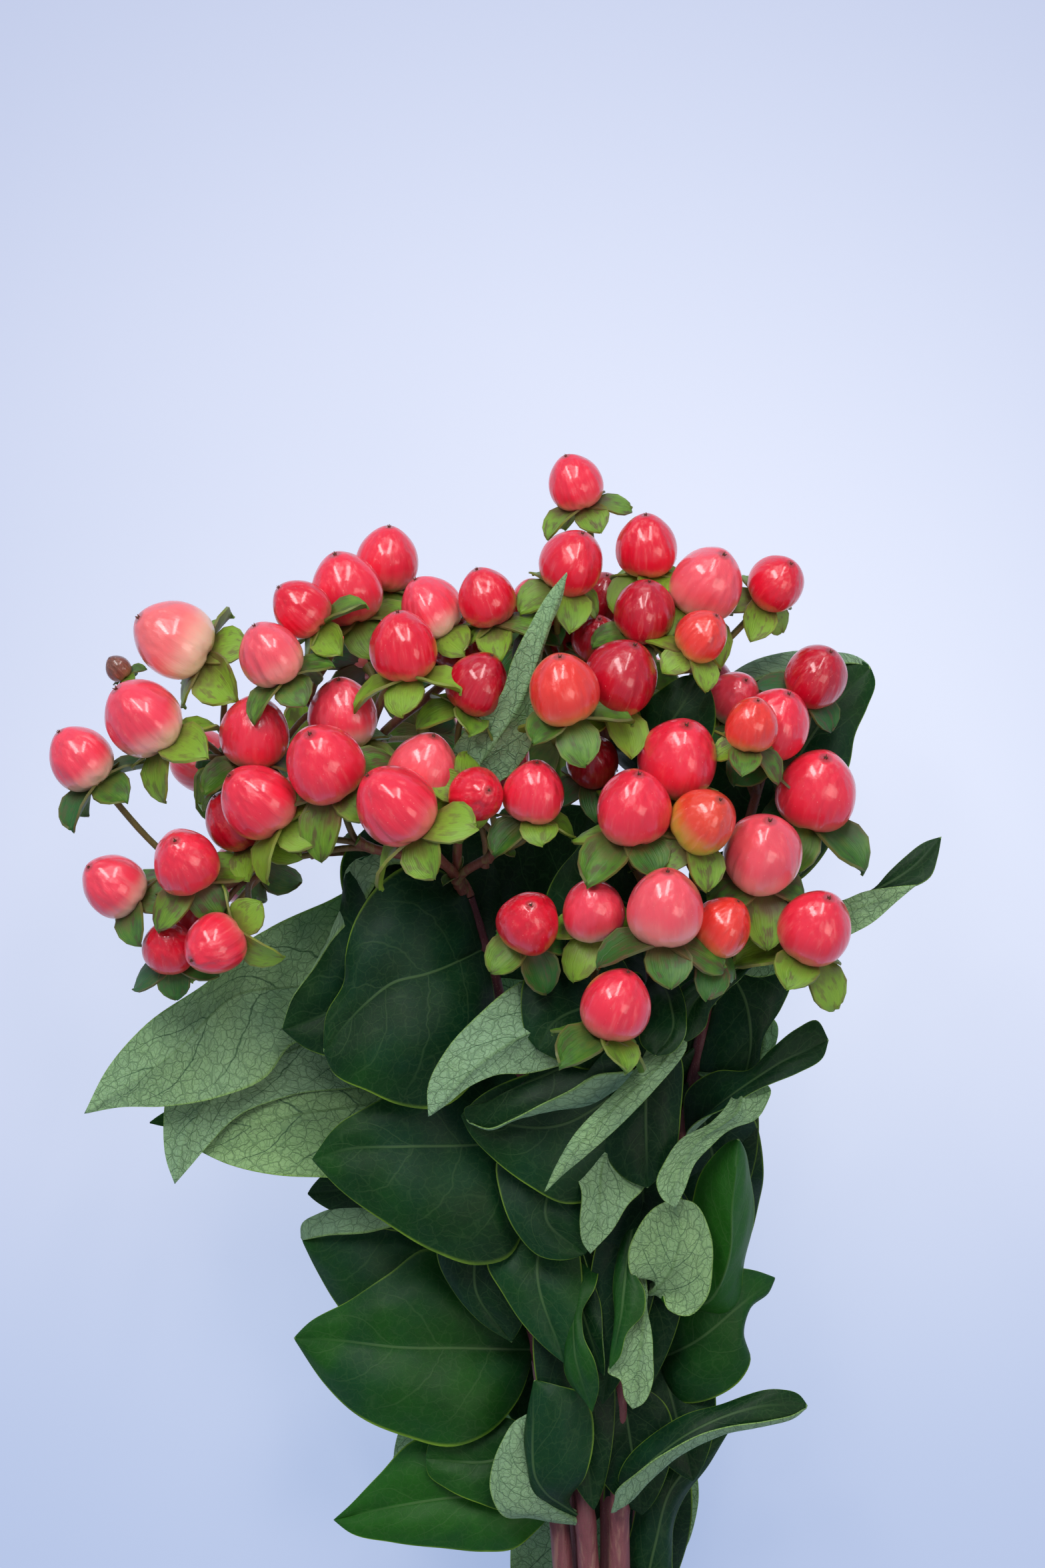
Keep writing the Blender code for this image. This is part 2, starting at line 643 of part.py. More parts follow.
def spray_pieces(number):
    """Make every piece of one spray, the main stalk first, which ends just short of its stem."""
    spray = SPRAYS[number]
    course = smooth_course(STEMS[number], STEM_STEPS)
    onward = (course[-1] - course[-2]).normalized()
    paths = [[course[-1] + onward * TOUCH_GAP]]
    headings = [onward]
    used = [0]
    pieces = []
    for index, (parent, point) in enumerate(spray.forks):
        end = Vector(point)
        start = next_root(paths, used, parent)
        arriving = ((end - start).normalized() + Vector(STALK_RISE)).normalized()
        straight = 0.0 if parent else FIRST_STRAIGHT
        path = stalk_path(start, headings[parent], end, arriving, straight)
        end_radius = STALK_RADIUS * STALK_TAPER
        pieces.append(tube(f"stalk_{number}_{index}", path, STALK_RADIUS, end_radius, STALK_RESOLUTION))
        paths.append(path)
        headings.append(arriving)
        used.append(0)
    for index, berry in enumerate(spray.berries):
        start = next_root(paths, used, berry.fork)
        end = Vector(berry.middle) - berry_axis(berry) * berry.across / 2
        leaving = ((end - start).normalized() + headings[berry.fork]).normalized()
        pieces.append(fruit_piece(f"fruit_{number}_{index}", berry, start - leaving * FORK_SINK, leaving))
    for index, leaf in enumerate(spray.leaves):
        pieces.append(leaf_piece(f"spray_leaf_{number}_{index}", paths[leaf.start][-1], leaf))
    return pieces


def stem_point(course, height):
    """Return the point of a stem's course at a height y."""
    for first, second in zip(course, course[1:]):
        if first.y <= height <= second.y:
            return first.lerp(second, (height - first.y) / (second.y - first.y))
    return course[-1]


def stem_pieces(number):
    """Make a stem and its leaves, the stem first."""
    course = smooth_course(STEMS[number], STEM_STEPS)
    pieces = [tube(f"stem_{number}", course, STEM_RADIUS, STEM_TIP_RADIUS, STEM_RESOLUTION)]
    for index, leaf in enumerate(LEAVES[number]):
        pieces.append(leaf_piece(f"leaf_{number}_{index}", stem_point(course, leaf.start), leaf))
    return pieces


def fused(name, pieces, material, home):
    """Join pieces into one solid with a Boolean union on a collection."""
    body = pieces[0]
    others = collection_named(name + "_pieces")
    for piece in pieces[1:]:
        bpy.context.scene.collection.objects.unlink(piece)
        others.objects.link(piece)
    union = body.modifiers.new("union", "BOOLEAN")
    union.operation = "UNION"
    union.operand_type = "COLLECTION"
    union.collection = others
    union.solver = "MANIFOLD"
    largest_shell(applied(body))
    for piece in list(others.objects):
        bpy.data.objects.remove(piece, do_unlink=True)
    bpy.data.collections.remove(others)
    body.name = name
    body.data.name = name
    finished(body, material, home)


def finished(piece, material, home):
    """Shade a piece smooth but for its sharp edges, and give it its material and its collection."""
    piece.data.shade_smooth()
    piece.data.set_sharp_from_angle(angle=SHARP_EDGE)
    piece.data.materials.clear()
    piece.data.materials.append(material)
    bpy.context.scene.collection.objects.unlink(piece)
    home.objects.link(piece)


def outward(side, away):
    """Return the direction square to a side in the XZ plane that points the same way as away."""
    square = Vector((side.z, 0, -side.x)).normalized()
    return square if square.dot(away) > 0 else -square


def band_outline():
    """Return the line round the outer stems that the band's inner face follows."""
    corners = []
    for number in BAND_STEMS:
        corner = stem_point(smooth_course(STEMS[number], STEM_STEPS), BAND_Y)
        corners.append(Vector((corner.x, 0, corner.z)))
    middle = sum(corners, Vector()) / len(corners)
    outline = []
    for index, corner in enumerate(corners):
        following = corners[(index + 1) % len(corners)]
        arriving = outward(corner - corners[index - 1], corner - middle)
        leaving = outward(following - corner, corner - middle)
        for step in range(BAND_ARC_STEPS):
            facing = arriving.lerp(leaving, step / (BAND_ARC_STEPS - 1)).normalized()
            outline.append(corner + facing * (STEM_RADIUS + BAND_CLEARANCE))
    return outline


def band_piece():
    """Make the band round the stems, as a strip with a wall."""
    outline = band_outline()
    work = bmesh.new()
    rows = []
    for height in (BAND_Y - BAND_WIDTH / 2, BAND_Y + BAND_WIDTH / 2):
        rows.append([work.verts.new(Vector((point.x, height, point.z)) * MM) for point in outline])
    count = len(outline)
    for index in range(count):
        after = (index + 1) % count
        work.faces.new((rows[0][index], rows[0][after], rows[1][after], rows[1][index]))
    bmesh.ops.recalc_face_normals(work, faces=work.faces)
    piece = object_from(work, "stem_band")
    wall = piece.modifiers.new("thickness", "SOLIDIFY")
    wall.thickness = BAND_THICKNESS * MM
    wall.offset = 1.0
    return applied(piece)


def main():
    """Build the whole bunch."""
    clear_scene()
    home = collection_named("hypericum_berry_bunch")
    wood = plain_material("stem_wood", WOOD_BROWN, 0.55)
    skin = plain_material("berry_skin", BERRY_RED, 0.25)
    rubber = plain_material("band_rubber", BAND_TAN, 0.6)
    for number in STEMS:
        fused(f"leafy_stem_{number}", stem_pieces(number), wood, home)
        fused(f"berry_spray_{number}", spray_pieces(number), skin, home)
    finished(band_piece(), rubber, home)


if __name__ == "__main__":
    main()
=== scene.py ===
"""The looks of a gathered bunch of hypericum stems in fruit, lying on its back.

The bunch lies along Y, with its berries towards +Y and its front facing +Z, which is where the camera is.
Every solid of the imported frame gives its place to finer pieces: bark, leaves, stalks, sepals, berries
and a band. Lengths in the tables are in millimetres. Meshes are in metres.
"""

import enum
import json
import logging
import math
import random
from dataclasses import dataclass, field

import bmesh
import bpy
import numpy as np
from mathutils import Euler, Matrix, Vector

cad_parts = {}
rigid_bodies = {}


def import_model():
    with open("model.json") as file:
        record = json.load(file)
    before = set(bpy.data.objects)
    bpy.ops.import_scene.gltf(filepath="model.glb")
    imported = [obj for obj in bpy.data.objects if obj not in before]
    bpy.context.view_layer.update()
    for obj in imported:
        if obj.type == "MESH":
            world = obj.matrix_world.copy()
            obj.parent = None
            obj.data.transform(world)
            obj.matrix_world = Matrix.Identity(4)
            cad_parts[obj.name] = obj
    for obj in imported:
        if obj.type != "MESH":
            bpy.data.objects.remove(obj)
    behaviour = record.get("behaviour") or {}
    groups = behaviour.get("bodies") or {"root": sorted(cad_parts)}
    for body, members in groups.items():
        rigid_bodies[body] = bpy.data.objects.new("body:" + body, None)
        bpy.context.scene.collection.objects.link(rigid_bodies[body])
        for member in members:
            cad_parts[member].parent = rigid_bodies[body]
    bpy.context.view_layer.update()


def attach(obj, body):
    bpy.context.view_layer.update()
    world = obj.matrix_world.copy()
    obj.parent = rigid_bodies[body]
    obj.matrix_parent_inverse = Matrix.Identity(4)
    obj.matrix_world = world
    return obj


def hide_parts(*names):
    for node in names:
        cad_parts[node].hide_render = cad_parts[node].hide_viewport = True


LOG = logging.getLogger("hypericum")
Colour = tuple[float, float, float, float]
Point = tuple[float, float, float]

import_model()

BODY = "root"
MM = 0.001
TOUCH_GAP = 0.3

CUT_Y = -200.0
COURSE_STEPS = 60
STEM_RADIUS = 2.2
STEM_TIP_RADIUS = 1.6
FORK_SINK = 0.5
FIRST_STRAIGHT = 1.5
ROOT_SPACING = 1.7
HANDLE_SHARE = 0.36
STALK_RISE = (0.0, 0.3, 0.1)
NECK_LENGTH = 1.6

BERRY_LENGTH_RATIO = 1.08
BERRY_TAPER = 0.15
SEPAL_LENGTHS = (0.98, 0.72, 0.9, 0.66, 0.82)
SEPAL_HALF_WIDTH = 0.33
SEPAL_SEAT = 0.93
SEPAL_DROOP = math.radians(24)
SEPAL_DROOP_CHANGE = 0.5
SEPAL_WAVE = 2.3
SEPAL_SHADES = (0.35, 1.0)
SEPAL_TONES = (0.0, 0.95)
SEPAL_TONE_CHANGE = 0.3
BRACT_RISE = -0.5
BRACT_SINK = 0.6
BRACT_WIDTH = 2.2
BRACT_LENGTHS = (3.0, 4.6)
BRACT_TONES = (0.2, 0.8)
BRACT_SHADES = (0.3, 1.0)
LEAST_DEPTH_SQUARED = 0.02

STEM_SEEDS = 100
SHAPED_SEEDS = 50
SPRAY_SEEDS = 10

WELD_GAP = 1e-6
SHARP_ANGLE = math.radians(60)

BAND_Y = -46.0
BAND_STEMS = (1, 6, 5, 2)


def paint(red: float, green: float, blue: float) -> Colour:
    """Return the linear colour of a display colour.

    Args:
        red: The red part, from 0 to 255.
        green: The green part.
        blue: The blue part.

    Returns:
        The linear parts, from 0 to 1, and a full opacity.
    """
    linear = []
    for value in (red, green, blue):
        share = value / 255
        linear.append(share / 12.92 if share <= 0.04045 else ((share + 0.055) / 1.055) ** 2.4)
    return (linear[0], linear[1], linear[2], 1.0)


class Ripeness(enum.Enum):
    """How ripe a berry is: the colour of its skin, the colour of its base and how far that reaches up."""

    PALE = (paint(244, 112, 112), paint(246, 206, 176), 0.8)
    BLUSHING = (paint(240, 64, 84), paint(250, 196, 178), 0.55)
    SALMON = (paint(240, 84, 96), paint(250, 158, 146), 0.7)
    CORAL = (paint(236, 42, 66), paint(246, 120, 118), 0.42)
    RED = (paint(222, 18, 46), paint(240, 92, 96), 0.34)
    DARK = (paint(188, 6, 36), paint(212, 66, 76), 0.28)
    TAWNY = (paint(232, 56, 46), paint(238, 140, 84), 0.5)
    TURNING = (paint(226, 66, 44), paint(190, 172, 62), 0.85)
    WITHERED = (paint(120, 72, 52), paint(150, 108, 76), 0.6)

    @property
    def skin(self) -> Colour:
        """The colour of most of the berry."""
        return self.value[0]

    @property
    def heel(self) -> Colour:
        """The colour next to the sepals."""
        return self.value[1]

    @property
    def reach(self) -> float:
        """How far up the berry its base's colour shows."""
        return self.value[2]


PALE, BLUSHING, SALMON, CORAL, RED, DARK, TAWNY, TURNING, WITHERED = Ripeness


@dataclass(frozen=True)
class Leaf:
    """One plain leaf: the height y that it leaves its stem at, its tip, its turns and its colour.

    lift raises its middle. roll turns it about its midrib, at its base and at its tip. fold raises its halves
    beside the midrib, and curl turns its margins down. tone runs from dark to light: partly the leaf's own
    green and partly painted light and shade, low for leaves that lie in shade. A larger point draws its tip
    out further.
    """

    start: float
    tip: Point
    half_width: float
    lift: float = 5.0
    roll: tuple[float, float] = (0.0, 0.0)
    fold: float = 12.0
    curl: float = 14.0
    wave: float = 0.8
    tone: float = 0.3
    point: float = 0.8


@dataclass(frozen=True)
class ShapedLeaf:
    """One leaf drawn by its midrib and its two margins, as seen from its upper side with its tip ahead.

    rib runs from base to tip. left and right are the margins between those two points. Where a margin is
    turned over, left or right is the fold and left_hem or right_hem is the margin itself. arch raises both
    halves between the midrib and the margin, as a share of their width. tone runs from dark to light: partly
    the leaf's own green and partly painted light and shade.
    """

    rib: list[Point]
    left: list[Point]
    right: list[Point]
    left_hem: list[Point] = field(default_factory=list)
    right_hem: list[Point] = field(default_factory=list)
    arch: float = 0.1
    wave: float = 0.4
    tone: float = 0.2


@dataclass(frozen=True)
class Fruit:
    """One berry: its middle and width, how its tip leans in x and y, its fork, and the turn of its sepals."""

    middle: Point
    across: float
    lean: tuple[float, float]
    fork: int
    ripeness: Ripeness = RED
    facing: int = 1
    turn: float = 0.0

    def axis(self) -> Vector:
        """Return the direction from the base of the berry to its tip.

        Returns:
            The direction, with length 1.
        """
        x, y = self.lean
        depth = math.sqrt(max(LEAST_DEPTH_SQUARED, 1 - x * x - y * y))
        return Vector((x, y, depth * self.facing)).normalized()

    def stand(self) -> Matrix:
        """Return the matrix that stands a shape made along Z on the berry's middle and axis.

        Returns:
            The matrix, in millimetres.
        """
        turned = self.axis().to_track_quat("Z", "Y").to_matrix().to_4x4()
        turned = turned @ Matrix.Rotation(math.radians(self.turn), 4, "Z")
        return Matrix.Translation(Vector(self.middle)) @ turned

    def seat(self) -> float:
        """Return how far below its middle the berry sits on its sepals, as a height."""
        return -self.across / 2 * BERRY_LENGTH_RATIO * SEPAL_SEAT


@dataclass(frozen=True)
class Spray:
    """One spray: its forks, each with the number of the fork before it, its fruits and its leaves."""

    forks: list[tuple[int, Point]]
    fruits: list[Fruit]
    leaves: list[ShapedLeaf] = field(default_factory=list)


# Each stem's course, from its cut end to its top.
STEMS: dict[int, list[Point]] = {
    1: [
        (10.6, CUT_Y + 2, 6.2), (13.2, BAND_Y, 20.6), (12, 5, 27.5),
        (4, 60, 35), (-10, 100, 41), (-21, 126, 46),
    ],
    2: [
        (13.2, CUT_Y + 6, 1.9), (15.6, BAND_Y, 16.4), (15, 5, 22),
        (10, 50, 28), (-4, 95, 36), (-14, 134, 44),
    ],
    3: [
        (15.8, CUT_Y, 6.6), (18, BAND_Y, 20.6), (16.5, 5, 30.5),
        (11, 60, 44), (2, 100, 54), (-4.5, 122, 60),
    ],
    4: [
        (18.6, CUT_Y + 3, 1.9), (20.4, BAND_Y, 16.4), (20.5, 5, 22.5),
        (19, 50, 29), (18, 95, 37), (17.5, 134, 46),
    ],
    5: [
        (25.6, CUT_Y + 8, 1.9), (25.3, BAND_Y, 16.6), (25.8, 5, 25),
        (30, 60, 38), (36.5, 98, 47), (39, 118, 54),
    ],
    6: [
        (21.8, CUT_Y + 1, 6.4), (22.8, BAND_Y, 20.8), (22, 5, 31),
        (23, 50, 44), (27.5, 90, 57), (27.5, 112, 66),
    ],
}

# Each stem's plain leaves. A leaf starts at its stem's point at the height y that start gives.
LEAVES: dict[int, list[Leaf]] = {
    1: [
        Leaf(74, (-33, 69.5, 30), 9.5, 2, (0, 0), tone=0.1),
        Leaf(93, (-60.8, 82.2, 38), 6.5, 2, (0, 0), tone=0.5),
        Leaf(66, (-18, 40, 24), 12, -2, (0, 0), tone=0.1),
    ],
    2: [
        Leaf(104, (-46, 112, 15), 13, -4, (180, 170)),
        Leaf(72, (-30, 56, 8), 13, -3, (180, 180)),
        Leaf(40, (-18, 22, 5), 11, -2, (170, 180)),
        Leaf(20, (8, -14, 8), 9, -3, (180, 180)),
        Leaf(84, (-6, 52, 27), 13, 2, (0, 0), tone=0.05),
        Leaf(62, (9, 24, 22), 12, 2, (0, 0), tone=0.05),
    ],
    3: [
        Leaf(66, (19.2, 38, 49), 4, 3, (20, 30), tone=0.05),
        Leaf(54, (17.5, 14, 37), 7, 3, (0, 0), tone=0.05),
    ],
    4: [
        Leaf(112, (-8, 92, 18), 12, -3, (180, 180)),
        Leaf(90, (38, 70, 10), 13, -4, (180, 180)),
        Leaf(58, (6, 36, 6), 11, -4, (180, 180)),
        Leaf(34, (34, 6, 6), 10, -3, (180, 180)),
        Leaf(104, (12, 66, 34), 15, 2, (0, 0), tone=0.05),
        Leaf(72, (24, 30, 25), 13, 2, (0, 0), tone=0.05),
        Leaf(46, (16, 10, 21), 10, 2, (0, 0), tone=0.05),
    ],
    5: [
        Leaf(90, (43, 58, 22), 9, 2, (0, 0), tone=0.05),
        Leaf(44, (35, 19, 36), 8, 4, (0, 0), tone=0.1),
        Leaf(28, (27, -8, 10), 8, 2, (0, 0), tone=0.05),
        Leaf(96, (40, 62, 32), 9, -5, (0, 0), tone=0.05),
    ],
    6: [
        Leaf(76, (27, 36, 44), 8, 2, (0, 0), tone=0.05),
        Leaf(70, (19, 33, 46), 6, 3, (0, 0), tone=0.05),
        Leaf(36, (26, 13, 33), 8, 2, (0, 0), tone=0.05),
    ],
}

# Each stem's leaves that show from the front, drawn line by line.
SHAPED_LEAVES: dict[int, list[ShapedLeaf]] = {
    1: [
        ShapedLeaf(
            [(-15.6, 114, 44), (-34, 106.5, 49), (-45, 105, 52), (-56, 95, 52), (-72.1, 84, 50)],
            left=[(-22, 124, 45), (-30, 121, 48), (-40.6, 116, 50), (-50.7, 107, 51), (-61.4, 99.5, 51),
                  (-68, 92, 50)],
            right=[(-22, 98, 45), (-35.8, 95.9, 48), (-40, 90.5, 49), (-48.3, 87, 50), (-58, 85.3, 50),
                   (-66, 85.1, 50)],
            arch=0.06, tone=0.5),
        ShapedLeaf(
            [(-11, 101, 42), (-38, 94, 44), (-51.4, 84.6, 44.5), (-54.3, 79.9, 44.5), (-56.3, 71.5, 44)],
            left=[(-24, 106, 42), (-45, 101, 44), (-57, 90, 44), (-58.3, 82, 44), (-57.8, 75.7, 44)],
            right=[(-20, 90, 42), (-36, 87, 43.5), (-45, 83.6, 44), (-50.5, 78.2, 44), (-53.5, 74.7, 44)],
            arch=0.08, tone=0.35),
        ShapedLeaf(
            [(-6, 90, 40), (-20, 86, 42.5), (-38, 83, 43), (-53.5, 78, 41)],
            left=[(-12, 100, 40), (-28, 101, 42), (-42, 95, 42), (-50.5, 86, 41)],
            right=[(-8, 78, 40), (-20, 72.6, 42), (-30.5, 72.7, 43), (-38, 73, 43), (-47, 75, 42)],
            arch=0.08, tone=0.95),
        ShapedLeaf(
            [(3.4, 62, 35), (-12, 64, 32), (-24, 63, 31), (-34.1, 61.2, 27)],
            left=[(-2, 50, 30), (-12, 43, 31), (-22, 44, 30), (-28, 50, 28), (-31.5, 55.8, 27)],
            right=[(-6, 70, 32), (-16, 69, 33), (-25, 67.6, 32), (-31, 66, 30), (-34, 64, 28)],
            right_hem=[(-4, 65, 35), (-14, 64.6, 36), (-22, 62.8, 35), (-29, 62.2, 32), (-33, 61.4, 29)],
            tone=0.35),
        ShapedLeaf(
            [(7, 42, 32.8), (-5, 42.4, 36), (-17, 42.6, 38), (-28, 43.8, 36), (-35.5, 44.1, 33)],
            left=[(4, 33, 33), (-1, 27.5, 35), (-7.2, 25.1, 36), (-15.5, 26.7, 36), (-22.6, 29.6, 36),
                  (-30, 36, 34)],
            right=[(3, 50, 34), (-4, 57, 36), (-12, 60, 37), (-18.8, 55.4, 37), (-25.6, 50.8, 36),
                   (-32.8, 46.8, 34)],
            arch=0.13, tone=0.55),
        ShapedLeaf(
            [(8, 27, 30), (0, 22.5, 33), (-12.2, 22.8, 33)],
            left=[(6, 16, 31), (2, 13.6, 32), (-3, 15, 33), (-8.5, 17.5, 33), (-11.7, 20, 33)],
            right=[(2, 30, 31), (-6, 29, 32), (-11.5, 25.8, 33)],
            tone=0.5),
        ShapedLeaf(
            [(11, 14, 28.6), (-4, 16, 30), (-16, 14.5, 29), (-28.6, 11.6, 24)],
            left=[(7, 9.5, 27), (3.5, 6.8, 28), (-2, 6.2, 29), (-10, 6.9, 29), (-18, 7.8, 28),
                  (-25.4, 9.3, 26)],
            right=[(4, 24, 28), (-6, 27.5, 30), (-14.4, 25.9, 30), (-20.6, 19.6, 28), (-26, 14, 26)],
            arch=0.12, tone=0.9),
    ],
    3: [
        ShapedLeaf(
            [(-0.9, 110, 56.4), (-9, 122, 53), (-20, 137, 49)],
            left=[(-14, 110, 53), (-24, 117, 52), (-27, 128, 50)],
            right=[(3, 120, 54), (2, 130, 53), (-8, 138, 51)],
            tone=0.05),
        ShapedLeaf(
            [(-0.2, 108, 56), (11, 122, 53), (17, 138, 50)],
            left=[(-3, 116, 53), (-3, 128, 53), (5, 138, 52)],
            right=[(14, 108, 53), (23, 118, 53), (25, 130, 51)],
            tone=0.05),
        ShapedLeaf(
            [(-3, 117, 58.6), (-14, 113, 60), (-24, 105, 59), (-31, 101, 58), (-37.2, 98.9, 57)],
            left=[(-8, 105, 58), (-18, 96, 59), (-28, 94, 58), (-33, 95.6, 57.5)],
            right=[(-10, 126, 59), (-20.5, 130, 61), (-25.8, 127, 61), (-26.6, 121.5, 60.5),
                   (-29.2, 114.6, 60), (-31.6, 110, 59), (-35.6, 104, 58)],
            right_hem=[(-10, 125, 60.5), (-19, 127.4, 62.5), (-21, 124, 63), (-24, 119.4, 62),
                       (-28.6, 114.2, 60.7), (-31.5, 109.8, 59.3), (-35.6, 104, 58.1)],
            arch=0.12, wave=0.4, tone=0.15),
        ShapedLeaf(
            [(-1.9, 113, 58), (-12, 108.7, 67), (-17.7, 107.2, 68), (-22.3, 103.7, 67.5),
             (-29.9, 95.3, 66)],
            left=[(0, 101, 61), (-3, 91, 63), (-9, 85.6, 65), (-16.9, 85.9, 66), (-22, 88.2, 66.5),
                  (-28, 91.4, 66)],
            right=[(-6, 124, 61), (-14, 128, 64), (-20, 124.5, 66), (-23.6, 119.4, 66.5),
                   (-25.9, 112.4, 67), (-26.3, 107.4, 67), (-29.3, 101.8, 66.5)],
            arch=0.12, wave=0.7, tone=0.12),
        ShapedLeaf(
            [(8, 79.5, 49), (-5, 78.6, 57), (-16.5, 78.4, 59), (-26, 77.9, 58), (-32, 76.1, 56)],
            left=[(6, 66, 50), (2, 58.6, 53), (-3, 57.6, 54), (-10.6, 60, 56), (-18.8, 64.8, 57),
                  (-27, 70.8, 57)],
            right=[(4, 93, 52), (-5, 96, 55), (-12, 92.5, 57), (-19.2, 87.2, 58), (-28.2, 81.4, 57)],
            arch=0.1, tone=0.25),
        ShapedLeaf(
            [(9.2, 71, 46.2), (-2, 63, 46.5), (-3.5, 54, 47), (3, 43.6, 43)],
            left=[(3, 64, 46), (4.6, 55, 47), (5, 47.5, 45)],
            right=[(-9, 66, 44), (-10, 58.5, 45), (-7.3, 52.6, 45.5), (-3, 47.7, 45)],
            tone=0.12),
        ShapedLeaf(
            [(10, 68, 46), (7.5, 56, 52), (12.7, 39.8, 50)],
            left=[(14, 63, 50), (15.4, 55, 52), (15, 47, 52), (14, 42, 51)],
            right=[(2, 64, 48), (-1.3, 57.6, 50), (1, 53.2, 51), (4.3, 48, 52), (8.3, 43.5, 51)],
            tone=0.35),
        ShapedLeaf(
            [(11.2, 64, 45.2), (13.8, 50, 52), (14.2, 42, 53), (17.2, 31.6, 49)],
            left=[(18.2, 57, 50), (17.8, 53.6, 52), (15.2, 49, 53), (15.4, 45.5, 54), (17.6, 41, 54),
                  (18.3, 36.5, 52)],
            right=[(14, 56, 48), (12.2, 46, 49), (12.8, 38, 49)],
            arch=0.15, tone=0.55),
        ShapedLeaf(
            [(15.8, 12, 32.2), (7.2, 20, 42), (6.8, 30, 45), (7, 37.1, 45)],
            left=[(8, 14, 33), (5.8, 21, 40), (5.8, 31, 42)],
            right=[(13.2, 15, 36), (16, 20.5, 41), (17.5, 27.5, 43), (17.1, 31.4, 44), (15.6, 34.6, 45),
                   (11, 36.2, 46)],
            arch=0.12, tone=0.28),
        ShapedLeaf(
            [(15.6, 11, 31.8), (6.6, 18, 39), (5.8, 31, 41)],
            left=[(10, 15, 32), (7.6, 21, 38), (7, 28, 39)],
            right=[(6, 12.2, 34), (1.3, 13.2, 37), (-0.8, 17.6, 39), (-0.2, 22.6, 40), (1.5, 26.7, 41),
                   (3.5, 29.6, 41)],
            arch=-0.15, tone=0.3),
    ],
    5: [
        ShapedLeaf(
            [(38.4, 113, 52.4), (50, 117.2, 56.4), (64, 122, 58.6), (74, 128, 59), (78.3, 132.7, 58)],
            left=[(48, 117.4, 55.5), (58, 120.6, 57.6), (66.3, 123.4, 58.5), (69, 126.5, 58.5),
                  (72, 129.3, 58), (75.5, 131.8, 58)],
            right=[(50, 116, 56), (64, 121, 58.8), (70, 123.3, 59.4), (73.7, 124, 59.5), (76.3, 125.6, 59),
                   (77.6, 129, 58.5)],
            arch=-0.1, tone=0.1),
        ShapedLeaf(
            [(38.3, 112, 52.6), (50, 117, 59), (64, 120.4, 60.4), (74, 124.3, 60)],
            left=[(46, 108, 56), (55, 111.5, 58), (62, 115.3, 59.5), (66, 117.5, 60), (70, 121, 60)],
            right=[(44, 118, 56), (54, 121.4, 59), (61, 121.6, 60), (64.5, 123, 60.4), (69, 123.8, 60.4)],
            arch=0.06, tone=0.45),
        ShapedLeaf(
            [(38.5, 113, 51), (44, 104, 52), (45, 96, 51), (42.5, 86, 49)],
            left=[(46, 113, 50), (52, 106.8, 51), (50.5, 103, 51), (47.4, 98, 51), (45.8, 90, 50)],
            right=[(37, 107, 46.8), (35.6, 97, 46.4), (37, 89, 46)],
            tone=0.08),
        ShapedLeaf(
            [(38.5, 113, 50.6), (36.4, 104, 45), (34, 94, 44), (33, 84, 43)],
            left=[(41.5, 110, 48), (42, 100, 45), (38, 90, 43.6)],
            right=[(34.5, 110.5, 47), (29, 101, 45), (29, 91, 43.6)],
            tone=0.06),
        ShapedLeaf(
            [(38.6, 116, 53.6), (43, 124, 51), (46, 132, 50)],
            left=[(33.5, 118, 51), (35, 127, 50)],
            right=[(47, 115.6, 51), (53, 124, 50)],
            arch=0.1, tone=0.06),
        ShapedLeaf(
            [(37.4, 104, 49), (46.5, 100, 49.6), (47.4, 95.6, 50), (44, 89.5, 49)],
            left=[(43, 98.4, 49), (45.2, 95, 49.5)],
            right=[(44, 103, 49), (49.7, 99.5, 50), (49.2, 95.6, 50), (46, 91.2, 49.5)],
            tone=0.6),
        ShapedLeaf(
            [(33.6, 80, 43.4), (42, 87.6, 55), (50, 93, 56), (58.6, 97, 55)],
            left=[(34, 88, 48), (39, 91.5, 51), (44.7, 92, 54), (48.6, 95.4, 55), (53, 99, 55),
                  (56.4, 100.5, 55)],
            right=[(34, 81, 49), (41.6, 86, 56), (48.6, 89.3, 57), (53.3, 91.4, 57), (57.6, 94, 56)],
            arch=0.05, tone=0.12),
        ShapedLeaf(
            [(35.4, 91, 45.6), (43, 89.6, 52.4), (42.5, 84.6, 58.6), (35, 79, 63.6), (31.6, 73, 66),
             (31.6, 67.8, 65.5)],
            left=[(41.6, 87.4, 54), (38, 82.8, 61), (32.5, 79.8, 64), (29.8, 76, 66), (28.3, 72, 66),
                  (29.2, 69.6, 66)],
            right=[(48.4, 87.5, 55), (46, 83.4, 56), (42.5, 81.9, 58), (38, 78.6, 62), (35, 75.6, 64),
                   (33, 70.5, 65.5)],
            arch=0.08, tone=0.5),
        ShapedLeaf(
            [(29.2, 50.5, 36.4), (38.5, 52, 50), (41.4, 60, 54), (41.6, 67, 55), (42.3, 74, 55),
             (42.8, 79.7, 53)],
            left=[(33, 54, 46), (34.5, 60, 48), (34.5, 68, 50), (36, 73, 51), (38.4, 76.5, 51.5),
                  (41, 79, 52)],
            right=[(42, 49, 44), (44.2, 58, 46), (45.3, 66, 47), (44.9, 72.8, 49), (43.8, 78, 52)],
            arch=0.06, tone=0.95),
        ShapedLeaf(
            [(28.3, 40, 34), (37, 45, 45), (43.5, 50.5, 45), (49.4, 55, 42)],
            left=[(30, 49, 38), (35, 55, 42), (41, 56.7, 44), (46, 56.2, 43)],
            right=[(33, 33, 37), (38.3, 33.6, 40), (43.4, 37.3, 41), (45, 40.4, 42), (43.9, 45, 43),
                   (45, 50, 43), (48.2, 52.4, 42)],
            arch=0.12, tone=0.5),
        ShapedLeaf(
            [(26, -4, 24), (28.5, 8, 29), (31, 17, 30), (36, 23, 29), (41.5, 27.5, 26)],
            left=[(23.5, 2, 25), (24.4, 11, 28), (26.4, 18, 29), (30.4, 21.5, 28.5), (36, 26, 27)],
